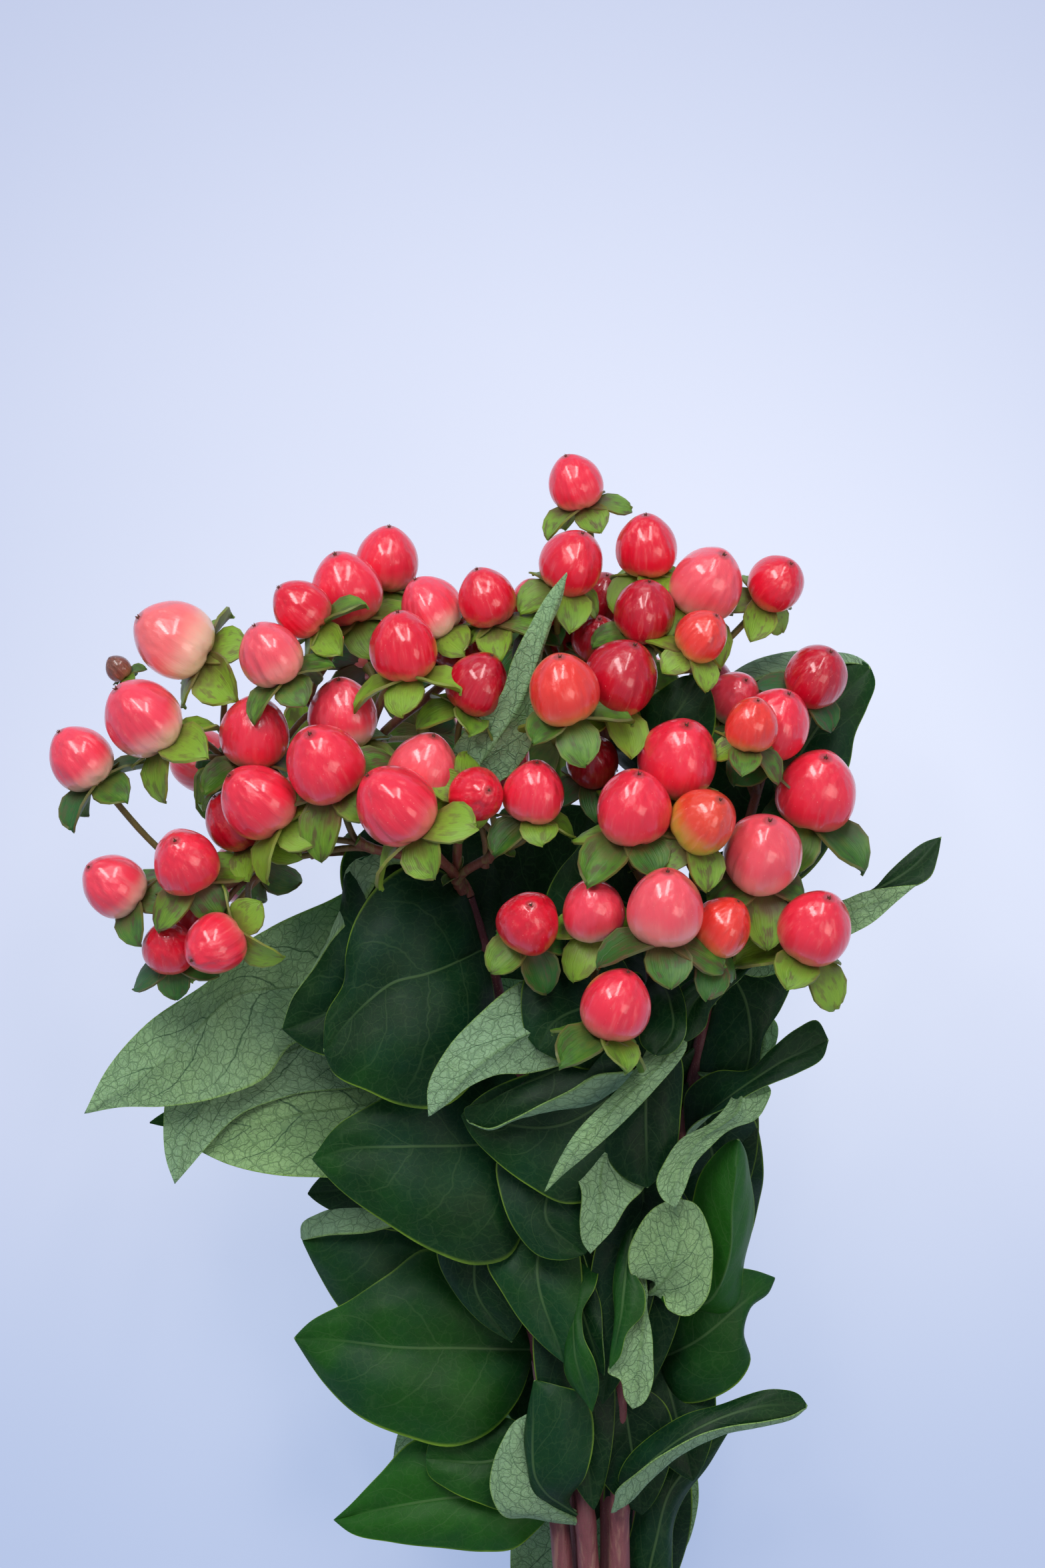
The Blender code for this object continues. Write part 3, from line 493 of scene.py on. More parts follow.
            right=[(31, -3, 24), (31.2, 5, 26), (31.9, 11, 27), (34, 16.5, 27), (38, 22, 27)],
            arch=0.1, tone=0.15),
    ],
    6: [
        ShapedLeaf(
            [(27.4, 107, 64), (12, 101, 74), (3, 97, 77), (-4, 92, 78), (-11.5, 84, 77)],
            left=[(14, 110, 70), (4.5, 107.5, 75), (-2.5, 102, 77), (-8.5, 95.5, 77.5), (-11.6, 89, 77)],
            right=[(16, 95, 70), (6, 91.4, 74), (0, 91.2, 76.5), (-4.3, 89.4, 77), (-8.5, 86, 77)],
            arch=0.06, tone=0.25),
        ShapedLeaf(
            [(27.5, 111, 65.4), (46, 111, 66), (39, 107.8, 69), (34.6, 103.5, 71), (32.4, 96.5, 72)],
            left=[(44, 110, 66), (43.6, 108.6, 68), (40, 105.3, 69.5), (37.6, 102.4, 70.5),
                  (36.7, 99.4, 71.5), (34.6, 97.5, 72)],
            right=[(34, 112, 67), (36, 109.5, 69), (32.5, 106.6, 70), (30.2, 103.5, 71),
                   (30.8, 99.6, 71.6)],
            arch=0.12, wave=0.2, tone=0.15),
        ShapedLeaf(
            [(27.5, 103, 62.6), (31, 95.5, 74), (24, 88.5, 78), (15.5, 80, 79), (8.7, 70.9, 76)],
            left=[(28, 99, 70), (24.5, 92.2, 76), (19, 86.2, 78), (14, 81, 78.5), (11, 76, 77.5)],
            right=[(33.5, 96, 73), (28, 89, 76), (23, 83.6, 78), (17, 78.2, 78.5), (12, 74, 77)],
            arch=-0.1, wave=0.2, tone=0.6),
        ShapedLeaf(
            [(27, 105, 63), (24, 98, 68), (10, 91.6, 70), (0, 87, 69.5), (-4.8, 83, 68)],
            left=[(32.6, 103, 65), (33, 97.5, 69), (29, 93.6, 72), (21, 88.6, 72), (17, 86.2, 72),
                  (10, 85, 72), (3.5, 83.4, 71), (-1, 81.6, 69)],
            left_hem=[(32.8, 102, 66), (33, 97, 70), (29.5, 94.2, 74), (23, 92, 76), (17.5, 91.2, 77),
                      (13.4, 88.6, 76.5), (8, 86, 75), (3, 83.4, 72), (-1, 81.8, 70)],
            right=[(25, 109, 66), (18, 105, 67), (12, 98, 68), (7.4, 93, 69), (4.4, 89, 69.5),
                   (-1, 86.4, 69), (-5.3, 85, 68)],
            arch=0.05, wave=0.3, tone=0.15),
        ShapedLeaf(
            [(27.4, 109, 64.6), (30.6, 104, 74), (31, 99, 77.5), (28, 94.6, 79)],
            left=[(31, 108, 69), (33.4, 102, 76), (33, 97.5, 78.4), (30.6, 95, 79)],
            right=[(26, 106, 69), (25.4, 101, 76), (25.6, 96.5, 79)],
            arch=0.1, tone=0.1),
        ShapedLeaf(
            [(27.4, 106, 62), (26, 114, 53), (25, 122, 51)],
            left=[(20.5, 110, 56), (18, 117, 52)],
            right=[(33, 110, 56), (33, 117, 52)],
            arch=0.1, tone=0.06),
        ShapedLeaf(
            [(27.4, 99, 61), (16, 103, 72), (10, 100, 76), (7.6, 95.6, 76)],
            left=[(24, 94, 64), (17, 92, 70), (11.4, 93.6, 75)],
            right=[(20, 113, 68), (10, 112.5, 73), (5.2, 108, 75.6), (4.7, 102, 76), (5.8, 97.8, 76)],
            arch=0.1, tone=0.1),
        ShapedLeaf(
            [(27.2, 92, 58), (10, 82, 65), (-5.9, 84, 66)],
            left=[(24, 76, 58), (18, 69.4, 60), (12.6, 68.5, 62), (6, 71.7, 64), (0, 76.2, 65),
                  (-4.4, 81, 66)],
            right=[(16, 93, 62), (5, 91, 65), (-3, 87, 66)],
            arch=0.08, tone=0.2),
        ShapedLeaf(
            [(27.4, 98, 60), (26.5, 88, 63), (26.8, 71.2, 61)],
            left=[(32, 95, 60), (32.4, 84, 61), (31, 75.6, 61.5)],
            right=[(20.5, 92, 60), (18.6, 84, 61), (19.4, 77, 61.5), (22.6, 73, 61)],
            arch=0.12, tone=0.06),
        ShapedLeaf(
            [(26, 84, 56), (19, 76, 62), (18.2, 67, 62.5), (16.8, 59.7, 60.5)],
            left=[(16, 82, 62), (13.6, 76, 63), (15.2, 70.6, 63), (14.9, 65, 62.5), (15.5, 61.5, 61)],
            right=[(28, 77, 56), (26.4, 71.4, 59), (23.4, 68.4, 62), (20.6, 63.8, 62), (18.2, 61.2, 61)],
            arch=0.05, tone=0.45),
        ShapedLeaf(
            [(25.5, 80, 54), (10, 72, 58), (9, 66, 59), (16, 59.6, 58)],
            left=[(18, 78, 56), (17, 71, 58), (17.6, 64, 58)],
            right=[(8, 82, 55), (0.4, 76, 57), (1, 70, 58.5), (3.8, 63.4, 59), (8, 59.2, 59),
                   (12.5, 58.6, 58.5)],
            arch=0.1, tone=0.2),
        ShapedLeaf(
            [(24.5, 66, 50), (23, 56, 55), (22, 47, 56), (20.2, 39.3, 55)],
            left=[(25.4, 62, 52), (24, 57.5, 55), (26.4, 52.6, 56), (26.2, 49.5, 57), (23.4, 46, 57),
                  (22, 41.5, 56)],
            right=[(22, 61, 52), (21, 50, 54), (20.6, 44, 54)],
            arch=0.15, tone=0.5),
        ShapedLeaf(
            [(24, 60, 48), (26.2, 52, 53), (25.5, 43, 54.5), (24.2, 32.2, 52)],
            left=[(24, 51, 53), (23.2, 46, 55), (20.6, 40.8, 55), (19.9, 38.6, 54), (22, 37.4, 54),
                  (22.9, 34, 53)],
            right=[(26.4, 56, 52), (27, 49, 53), (27.8, 42, 54), (27.7, 36.6, 53), (25.8, 33, 52)],
            arch=0.12, tone=0.55),
        ShapedLeaf(
            [(23, 50.5, 44), (29, 54, 54.5), (31.8, 59, 59), (32.6, 65, 60), (31.4, 69.5, 60)],
            left=[(26, 51, 48), (29.4, 53, 53), (30.6, 50, 54), (34, 48.7, 55), (37, 51.5, 57),
                  (38.2, 57.4, 58), (37.7, 63.5, 59), (34.9, 68.6, 60)],
            right=[(25.4, 53, 48), (28, 55.4, 54), (24.6, 55.6, 55), (23.4, 59.6, 57), (24.8, 63.6, 58.5),
                   (27.8, 67.6, 59.5)],
            arch=0.12, tone=0.7),
        ShapedLeaf(
            [(22.5, 14, 33), (28, 23, 43), (39.5, 30.3, 46), (48, 32.6, 45), (55.1, 32.5, 43)],
            left=[(22, 20, 37), (27, 27, 41), (33.5, 30.6, 43), (38.6, 32.4, 44), (44, 34.4, 44),
                  (50, 35.4, 44), (53.6, 34.4, 43)],
            right=[(20.6, 13.4, 37), (24.6, 16.2, 41), (28.4, 20.4, 44), (33.4, 24.6, 46), (40, 27.6, 46),
                   (48, 29.2, 45), (53, 30.6, 43.5)],
            right_hem=[(21.4, 17.6, 41), (25, 20.4, 45), (29, 23.8, 48), (34.4, 27, 49.5), (40.6, 28.9, 48),
                       (48.4, 30, 46), (53.2, 31.2, 44)],
            arch=0.05, wave=0.5, tone=0.15),
    ],
}

SPRAYS: dict[int, Spray] = {
    1: Spray(
        forks=[(0, (-34, 131, 54)), (1, (-48, 124, 58)), (1, (-47, 147, 60)), (1, (-42, 134, 36))],
        fruits=[
            Fruit((-56.5, 167.5, 68), 13.4, (-0.80, 0.49), 3, PALE, turn=285),
            Fruit((-61.5, 153.8, 72), 13.2, (-0.64, 0.68), 3, BLUSHING, turn=105),
            Fruit((-72.6, 146.7, 66), 11.0, (-0.60, 0.74), 2, BLUSHING, turn=30),
            Fruit((-66.9, 124.5, 66), 10.8, (-0.69, 0.51), 2, BLUSHING, turn=270),
            Fruit((-54.0, 128.7, 75), 11.4, (-0.26, 0.56), 2, CORAL, turn=30),
            Fruit((-57.0, 113.6, 66), 9.3, (-0.20, 0.60), 2, RED, turn=0),
            Fruit((-49.1, 113.7, 74), 10.5, (-0.66, -0.46), 2, CORAL, turn=30),
            Fruit((-52.0, 146.0, 34), 11.0, (-0.60, 0.40), 4, RED, -1, 45),
            Fruit((-45.0, 126.0, 20), 11.0, (-0.50, -0.40), 4, DARK, -1, 60),
            Fruit((-52.2, 118.9, 59), 9.3, (-0.10, 0.70), 2, BLUSHING, turn=75),
            Fruit((-65.9, 162.3, 64), 4.4, (-0.62, 0.70), 3, WITHERED, turn=20),
        ],
    ),
    2: Spray(
        forks=[(0, (-22, 148, 54)), (1, (-33, 157, 60)), (1, (-18, 162, 60)), (1, (-7, 162, 58)),
               (1, (-22, 150, 34))],
        fruits=[
            Fruit((-39.1, 164.8, 78), 10.9, (-0.46, 0.81), 2, SALMON, turn=240),
            Fruit((-34.0, 172.8, 73), 9.8, (-0.70, 0.65), 2, RED, turn=150),
            Fruit((-41.8, 151.2, 71), 12.2, (-0.05, 0.90), 2, CORAL, turn=240),
            Fruit((-26.5, 154.5, 70), 12.0, (-0.10, 0.88), 2, BLUSHING, turn=135),
            Fruit((-26.1, 176.4, 65), 12.4, (-0.27, 0.86), 3, CORAL, turn=30),
            Fruit((-18.8, 181.5, 57), 11.0, (0.06, 0.94), 3, CORAL, turn=30),
            Fruit((-15.8, 166.1, 80), 11.7, (-0.16, 0.93), 3, RED, turn=0),
            Fruit((-11.3, 172.9, 71), 10.5, (-0.46, 0.84), 4, BLUSHING, turn=315),
            Fruit((-1.5, 174.6, 75), 10.0, (-0.30, 0.89), 4, RED, turn=150),
            Fruit((-34.0, 146.0, 6.05), 12.0, (-0.30, -0.20), 5, RED, -1, 45),
            Fruit((-24.0, 166.0, 28), 11.0, (-0.30, 0.60), 5, CORAL, -1, 60),
            Fruit((-12.0, 152.0, 12), 11.0, (0.10, 0.20), 5, DARK, -1, 30),
            Fruit((-6.2, 166.4, 65), 9.0, (0.10, 0.80), 4, DARK, turn=20),
        ],
    ),
    3: Spray(
        forks=[(0, (-7, 126, 66)), (1, (-24, 132, 72)), (1, (-11, 131, 72)), (1, (1, 131, 72)),
               (1, (-6, 140, 72))],
        fruits=[
            Fruit((-29.8, 145.9, 84), 13.5, (-0.31, 0.66), 2, CORAL, turn=45),
            Fruit((-41.4, 139.3, 78), 12.7, (-0.70, 0.61), 2, CORAL, turn=240),
            Fruit((-45.4, 135.9, 69), 10.5, (-0.62, 0.70), 2, DARK, turn=120),
            Fruit((-17.3, 138.6, 89), 13.6, (-0.65, 0.67), 3, CORAL, turn=345),
            Fruit((-12.2, 144.7, 78), 12.4, (0.25, 0.85), 3, SALMON, turn=30),
            Fruit((-2.9, 140.2, 86), 9.4, (0.40, 0.13), 4, RED, turn=330),
            Fruit((1.7, 146.4, 69), 9.3, (0.34, 0.64), 4, CORAL, turn=240),
            Fruit((7.0, 140.8, 83), 10.6, (0.08, 0.86), 4, CORAL, turn=255),
            Fruit((-2.7, 159.6, 78), 10.7, (0.40, 0.83), 4, DARK, turn=255),
        ],
        leaves=[ShapedLeaf(
            [(-6, 140, 72), (-1, 147.5, 76), (4, 155, 81), (7.5, 163.5, 84), (10, 171, 85),
             (12.6, 178.7, 84)],
            left=[(2, 143, 74), (6.4, 148.5, 77), (7.4, 154.5, 80), (7.6, 160.5, 81), (9.6, 168.5, 84),
                  (11.7, 174, 84)],
            right=[(-8, 146, 73), (-6, 150, 75), (-2.3, 153.8, 78), (1.3, 157.7, 82), (3, 163, 83),
                   (5.8, 168.8, 84), (9.3, 174.9, 84)],
            arch=0.08, tone=0.4)],
    ),
    4: Spray(
        forks=[(0, (19, 148, 56)), (1, (13, 160, 62)), (1, (24, 163, 62)), (1, (37, 163, 62)),
               (1, (20, 156, 34))],
        fruits=[
            Fruit((11.9, 158.7, 90), 12.1, (-0.09, 0.82), 2, TAWNY, turn=180),
            Fruit((13.7, 180.7, 76), 11.0, (0.29, 0.83), 2, RED, turn=111),
            Fruit((14.0, 194.8, 66), 9.5, (-0.31, 0.87), 2, CORAL, turn=30),
            Fruit((26.6, 183.7, 70), 10.6, (-0.04, 0.92), 3, RED, turn=255),
            Fruit((26.2, 172.2, 76), 10.6, (0.14, 0.88), 3, DARK, turn=90),
            Fruit((17.7, 167.5, 69), 8.3, (0.15, 0.72), 3, DARK, turn=105),
            Fruit((22.2, 160.8, 81), 12.8, (0.33, 0.78), 3, DARK, turn=345),
            Fruit((37.3, 177.3, 72), 12.5, (0.41, 0.69), 4, SALMON, turn=165),
            Fruit((49.4, 177.2, 68), 9.7, (0.46, 0.61), 4, RED, turn=105),
            Fruit((36.3, 167.9, 81), 8.9, (0.50, 0.69), 4, TAWNY, turn=0),
            Fruit((8.0, 170.0, 30), 11.0, (-0.10, 0.60), 5, CORAL, -1, 330),
            Fruit((26.0, 160.0, 12), 11.0, (0.10, 0.30), 5, RED, -1, 195),
            Fruit((34.0, 172.0, 34), 11.0, (0.40, 0.50), 5, SALMON, -1, 15),
            Fruit((11.2, 169.3, 60), 9.0, (0.0, 0.80), 2, DARK, turn=10),
            Fruit((7.0, 173.4, 68), 9.0, (-0.20, 0.80), 2, RED, turn=40),
            Fruit((19.2, 174.6, 60), 9.0, (0.10, 0.80), 3, DARK, turn=65),
            Fruit((10.0, 150.0, 14), 10.0, (-0.20, 0.10), 5, RED, -1, 20),
        ],
        leaves=[ShapedLeaf(
            [(19, 148, 57), (26, 148, 70), (31, 153, 74), (35.8, 161, 74)],
            left=[(20, 149.5, 66), (23.5, 153.6, 71), (28, 157.6, 73), (33, 160.7, 74)],
            right=[(28, 142, 66), (36, 146, 71), (38.6, 153.7, 73), (37.4, 158.8, 74)],
            arch=0.08, tone=0.15)],
    ),
    5: Spray(
        forks=[(0, (43, 130, 58)), (1, (47, 145, 62)), (1, (51, 127, 66)), (1, (44, 140, 36))],
        fruits=[
            Fruit((56.4, 161.0, 66), 10.8, (0.41, 0.70), 2, DARK, turn=90),
            Fruit((42.0, 157.2, 66), 9.3, (0.39, 0.57), 2, BLUSHING, turn=135),
            Fruit((49.2, 152.7, 73), 12.2, (0.33, 0.76), 2, CORAL, turn=0),
            Fruit((44.8, 152.5, 83), 9.2, (0.20, 0.80), 2, TAWNY, turn=165),
            Fruit((56.4, 141.2, 71), 13.9, (0.18, 0.72), 3, CORAL, turn=150),
            Fruit((56.1, 117.3, 77), 12.8, (0.31, 0.71), 3, CORAL, turn=15),
            Fruit((46.8, 130.2, 79), 13.7, (0.15, 0.74), 3, SALMON, turn=330),
            Fruit((54.0, 140.0, 30), 11.0, (0.60, 0.20), 4, CORAL, -1, 90),
            Fruit((44.0, 148.0, 6.15), 12.0, (0.30, 0.10), 4, RED, -1, 45),
            Fruit((37.8, 160.1, 57), 8.0, (0.10, 0.80), 2, DARK, turn=50),
        ],
        leaves=[ShapedLeaf(
            [(43, 130, 58), (51, 143, 54), (59, 155, 53), (66, 162.4, 51)],
            left=[(35, 137, 56), (35, 152, 54), (41, 161, 53), (51, 164.9, 52), (59, 165, 51),
                  (63.6, 164.2, 51)],
            left_hem=[(36, 138, 57), (37, 151, 57), (43, 158.4, 56), (52, 161.8, 55), (59.4, 162.8, 54),
                      (63.4, 163, 52)],
            right=[(51, 124, 55), (58.4, 130.6, 54), (60.6, 140, 53), (62.4, 146, 52), (63, 150, 52),
                   (65.4, 155.4, 52), (66.8, 160, 51)],
            arch=0.1, wave=0.6, tone=0.2)],
    ),
    6: Spray(
        forks=[(0, (28, 119, 72)), (1, (25, 127, 75)), (1, (35, 124, 75)), (1, (16, 112, 74))],
        fruits=[
            Fruit((32.2, 146.8, 80), 13.7, (0.17, 0.74), 2, CORAL, turn=0),
            Fruit((24.2, 138.2, 87), 12.9, (0.13, 0.80), 2, CORAL, turn=60),
            Fruit((17.2, 146.1, 71), 9.1, (0.10, 0.70), 2, DARK, turn=105),
            Fruit((36.6, 135.8, 87), 11.2, (0.44, 0.57), 3, TURNING, turn=0),
            Fruit((39.9, 117.3, 81), 10.2, (0.47, 0.79), 1, TAWNY, turn=120),
            Fruit((29.7, 120.8, 88), 13.3, (0.05, 0.85), 1, SALMON, turn=30),
            Fruit((17.2, 120.3, 83), 10.8, (0.02, 0.69), 4, BLUSHING, turn=285),
            Fruit((6.0, 118.1, 85), 10.8, (0.06, 0.50), 4, RED, turn=120),
            Fruit((21.2, 103.9, 88), 12.2, (0.31, 0.85), 4, CORAL, turn=60),
        ],
        leaves=[ShapedLeaf(
            [(28, 119, 71), (19, 124, 72), (17.9, 134.9, 72)],
            left=[(18, 113, 70), (9.4, 115, 71), (8.8, 121.5, 72), (11, 126.6, 73), (14.5, 130.7, 73),
                  (16.9, 133.6, 72)],
            right=[(28, 124, 71), (25, 131, 72), (20.4, 134.4, 72)],
            arch=0.1, tone=0.1)],
    ),
}


class Wire:
    """An output socket that takes part in sums, differences, products and quotients."""

    def __init__(self, graph: "Graph", socket: bpy.types.NodeSocket) -> None:
        """Keep the socket and the graph that its followers are added to."""
        self.graph = graph
        self.socket = socket

    def __add__(self, other: "Wire | float") -> "Wire":
        """Return this value plus another."""
        return self.graph.maths("ADD", self, other)

    __radd__ = __add__

    def __mul__(self, other: "Wire | float") -> "Wire":
        """Return this value times another."""
        return self.graph.maths("MULTIPLY", self, other)

    __rmul__ = __mul__

    def __sub__(self, other: "Wire | float") -> "Wire":
        """Return this value less another."""
        return self.graph.maths("SUBTRACT", self, other)

    def __rsub__(self, other: float) -> "Wire":
        """Return a number less this value."""
        return self.graph.maths("SUBTRACT", other, self)

    def __abs__(self) -> "Wire":
        """Return this value without its sign."""
        return self.graph.maths("ABSOLUTE", self)


class Graph:
    """Adds nodes to one node tree, of a material or of Geometry Nodes."""

    def __init__(self, tree: bpy.types.NodeTree) -> None:
        """Start on a tree."""
        self.tree = tree

    def node(self, kind: str, settings: dict | None = None, inputs: dict | None = None,
             out: int | str = 0) -> Wire:
        """Add a node.

        Args:
            kind: The node's type.
            settings: What is set on the node first.
            inputs: A value or a wire for each socket, by name or number.
            out: The output socket to return.

        Returns:
            The wire from the output socket.
        """
        made = self.tree.nodes.new(kind)
        for name, value in (settings or {}).items():
            setattr(made, name, value)
        for name, value in (inputs or {}).items():
            if isinstance(value, Wire):
                self.tree.links.new(value.socket, made.inputs[name])
            else:
                made.inputs[name].default_value = value
        return Wire(self, made.outputs[out])

    def maths(self, operation: str, *values: "Wire | float") -> Wire:
        """Return the result of a Math node."""
        return self.node("ShaderNodeMath", {"operation": operation}, dict(enumerate(values)))

    def step(self, value: Wire, low: float, high: float) -> Wire:
        """Return a smooth step.

        Args:
            value: What it follows.
            low: Where it is 0.
            high: Where it is 1, which can be less than low.

        Returns:
            The step, from 0 to 1.
        """
        ends = {"Value": value, "From Min": min(low, high), "From Max": max(low, high)}
        rise = self.node("ShaderNodeMapRange", {"interpolation_type": "SMOOTHSTEP"}, ends)
        return rise if low < high else 1 - rise

    def mix(self, first: "Wire | Colour", second: "Wire | Colour", share: "Wire | float") -> Wire:
        """Return one colour changed to another by a share."""
        return self.node("ShaderNodeMix", {"data_type": "RGBA"}, {0: share, 6: first, 7: second}, 2)

    def shaded(self, colour: "Wire | Colour", value: Wire) -> Wire:
        """Return a colour made lighter or darker by a number."""
        start = colour if isinstance(colour, Wire) else colour[:3]
        return self.node("ShaderNodeVectorMath", {"operation": "SCALE"}, {0: start, "Scale": value})

    def noise(self, place: Wire, scale: float, detail: float = 3.0, roughness: float = 0.5) -> Wire:
        """Return smooth noise from 0 to 1."""
        sizes = {"Vector": place, "Scale": scale, "Detail": detail, "Roughness": roughness}
        return self.node("ShaderNodeTexNoise", None, sizes)

    def stretched(self, place: Wire, by: Point) -> Wire:
        """Return a place with its three parts multiplied."""
        return self.node("ShaderNodeVectorMath", {"operation": "MULTIPLY"}, {0: place, 1: by})

    def attribute(self, name: str, out: str = "Fac") -> Wire:
        """Return a value that the mesh carries."""
        return self.node("ShaderNodeAttribute", {"attribute_name": name}, None, out)

    def parts(self, place: Wire) -> tuple[Wire, Wire, Wire]:
        """Return the three parts of a vector."""
        split = self.node("ShaderNodeSeparateXYZ", None, {0: place}).socket.node
        return tuple(Wire(self, split.outputs[number]) for number in range(3))


class Finish:
    """A material made of nodes round one Principled shader."""

    name = "finish"

    def material(self) -> bpy.types.Material:
        """Return the material, made on first use.

        Returns:
            The material.
        """
        found = bpy.data.materials.get(self.name)
        if found:
            return found
        made = bpy.data.materials.new(self.name)
        made.use_nodes = True
        graph = Graph(made.node_tree)
        shader = made.node_tree.nodes["Principled BSDF"]
        for socket, value in self.sockets(graph).items():
            if isinstance(value, Wire):
                graph.tree.links.new(value.socket, shader.inputs[socket])
            else:
                shader.inputs[socket].default_value = value
        return made

    def sockets(self, graph: Graph) -> dict[str, "Wire | float | Colour"]:
        """Return what this finish sets on the shader.

        Args:
            graph: The material's nodes.

        Returns:
            A value or a wire for each socket, by name.
        """
        raise NotImplementedError

    def bump(self, graph: Graph, height: Wire, depth: float) -> Wire:
        """Return a normal bent by a height from 0 to 1 whose full depth is given in millimetres."""
        return graph.node("ShaderNodeBump", None, {"Strength": 1.0, "Distance": depth * MM, "Height": height})


@dataclass(frozen=True)
class LeafFinish(Finish):
    """Satin leaf: dark green with fine pale veins and a painted bluish sky reflection above, pale grey-green
    with a raised net below.
    """

    name = "leaf_skin"
    deep: Colour = paint(3, 40, 14)
    fresh: Colour = paint(30, 88, 18)
    # Painted reflection: the sky's bluish sheen on the upper face, laid on in patches.
    sky_reflection: Colour = paint(12, 56, 38)
    vein: Colour = paint(96, 130, 78)
    margin: Colour = paint(124, 162, 46)
    under_grey: Colour = paint(133, 167, 128)
    under_green: Colour = paint(142, 178, 120)
    under_line: Colour = paint(66, 100, 68)
    cells_per_mm: float = 0.5
    relief: float = 0.15

    def sockets(self, graph: Graph) -> dict[str, "Wire | float | Colour"]:
        """Return what this finish sets on the shader.

        Args:
            graph: The material's nodes.

        Returns:
            A value or a wire for each socket, by name.
        """
        across, along, side = graph.parts(graph.attribute("blade", "Vector"))
        phase, wide, long = graph.parts(graph.attribute("veins", "Vector"))
        tone = graph.attribute("tone")
        flat = graph.node("ShaderNodeCombineXYZ", None, {0: wide, 1: long, 2: tone * 40.0})
        cloud = graph.noise(flat, 0.09)
        mottle = graph.noise(flat, 0.9, 4.0)
        net = self.net(graph, flat)
        sway = (graph.noise(flat, 0.25) - 0.5) * 0.3
        beside = abs(graph.maths("FRACT", phase + sway + 20.5) - 0.5)
        lateral = graph.step(beside, 0.032, 0.006) * graph.step(abs(across), 0.97, 0.6)
        rib = graph.step(abs(wide), 0.36, 0.1) * graph.step(along, 1.05, 0.5)
        lines = graph.maths("MAXIMUM", rib, lateral * 0.35)
        is_top = graph.step(side, 0.5, 0.9)
        is_rim = graph.step(abs(side), 0.97, 0.6)
        near_rim = graph.maths("MAXIMUM", graph.step(abs(across), 0.955, 0.995), is_rim)

        # Painted light and shade: each leaf's tone is low where it lies in shade and high where it catches
        # the light.
        light = tone + (cloud - 0.5) * 0.7 + (along - 0.4) * 0.25
        # Painted reflection: patches of bluish sky sheen, more of them towards each leaf's base.
        sky_reflection_spread = graph.noise(flat, 0.05) + (0.5 - along) * 0.15
        top = self.upper(graph, light, sky_reflection_spread, mottle)
        top = graph.mix(top, self.vein, graph.maths("MAXIMUM", lines * 0.42, net * 0.1))
        top = graph.mix(top, self.margin, near_rim * (0.3 + graph.step(cloud, 0.4, 0.62) * 0.45))
        under = self.under(graph, tone + (cloud - 0.5) * 0.8, mottle, net, lateral)
        under = graph.mix(under, self.vein, rib * 0.6)
        under = graph.mix(under, self.margin, near_rim * 0.5)
        height = lines * 0.3 + net * (0.8 - is_top * 0.74) + mottle * 0.12
        return {
            "Base Color": graph.mix(under, top, is_top),
            "Roughness": 0.6 - is_top * 0.14 + mottle * 0.08,
            "Specular IOR Level": 0.2,
            "Subsurface Weight": 0.12,
            "Subsurface Radius": (0.6, 1.0, 0.3),
            "Subsurface Scale": 0.0012,
            "Normal": self.bump(graph, height, self.relief),
        }

    def net(self, graph: Graph, flat: Wire) -> Wire:
        """Return the net of fine veins.

        Args:
            graph: The material's nodes.
            flat: The place on the flattened leaf, in millimetres.

        Returns:
            A height from 0 between the veins to 1 on them.
        """
        bent = graph.node("ShaderNodeTexNoise", None, {"Vector": flat, "Scale": 0.7}, "Color")
        bend = {0: bent, 1: (1.6, 1.6, 0), 2: flat}
        warped = graph.node("ShaderNodeVectorMath", {"operation": "MULTIPLY_ADD"}, bend)
        edge_on = {"feature": "DISTANCE_TO_EDGE"}
        coarse_cells = {"Vector": warped, "Scale": self.cells_per_mm}
        fine_cells = {"Vector": warped, "Scale": self.cells_per_mm * 2.4}
        coarse = graph.node("ShaderNodeTexVoronoi", edge_on, coarse_cells)
        fine = graph.node("ShaderNodeTexVoronoi", edge_on, fine_cells)
        return graph.maths("MAXIMUM", graph.step(coarse, 0.06, 0.0), 0.5 * graph.step(fine, 0.08, 0.0))

    def upper(self, graph: Graph, light: Wire, sky_reflection_spread: Wire, mottle: Wire) -> Wire:
        """Return the upper face's colour between its veins.

        Args:
            graph: The material's nodes.
            light: How light the green is, from 0 to 1: partly the leaf's own green and partly painted light
                and shade.
            sky_reflection_spread: Where the painted bluish sky reflection lies.
            mottle: Fine noise.

        Returns:
            The colour.
        """
        green = graph.mix(self.deep, self.fresh, graph.step(light, 0.0, 1.0))
        green = graph.mix(green, self.sky_reflection, graph.step(sky_reflection_spread, 0.46, 0.68) * 0.55)
        return graph.shaded(green, 0.84 + mottle * 0.32)

    def under(self, graph: Graph, light: Wire, mottle: Wire, net: Wire, lateral: Wire) -> Wire:
        """Return the lower face's colour with its dark net.

        Args:
            graph: The material's nodes.
            light: How green it is, from 0 to 1, with the leaf's painted light and shade in it.
            mottle: Fine noise.
            net: The net of fine veins.
            lateral: The veins on both sides of the midrib.

        Returns:
            The colour.
        """
        pale = graph.mix(self.under_grey, self.under_green, graph.step(light, 0.1, 1.0))
        pale = graph.shaded(pale, 0.9 + mottle * 0.2)
        pale = graph.mix(pale, self.under_line, net * 0.42)
        return graph.mix(pale, self.under_line, lateral * 0.85)


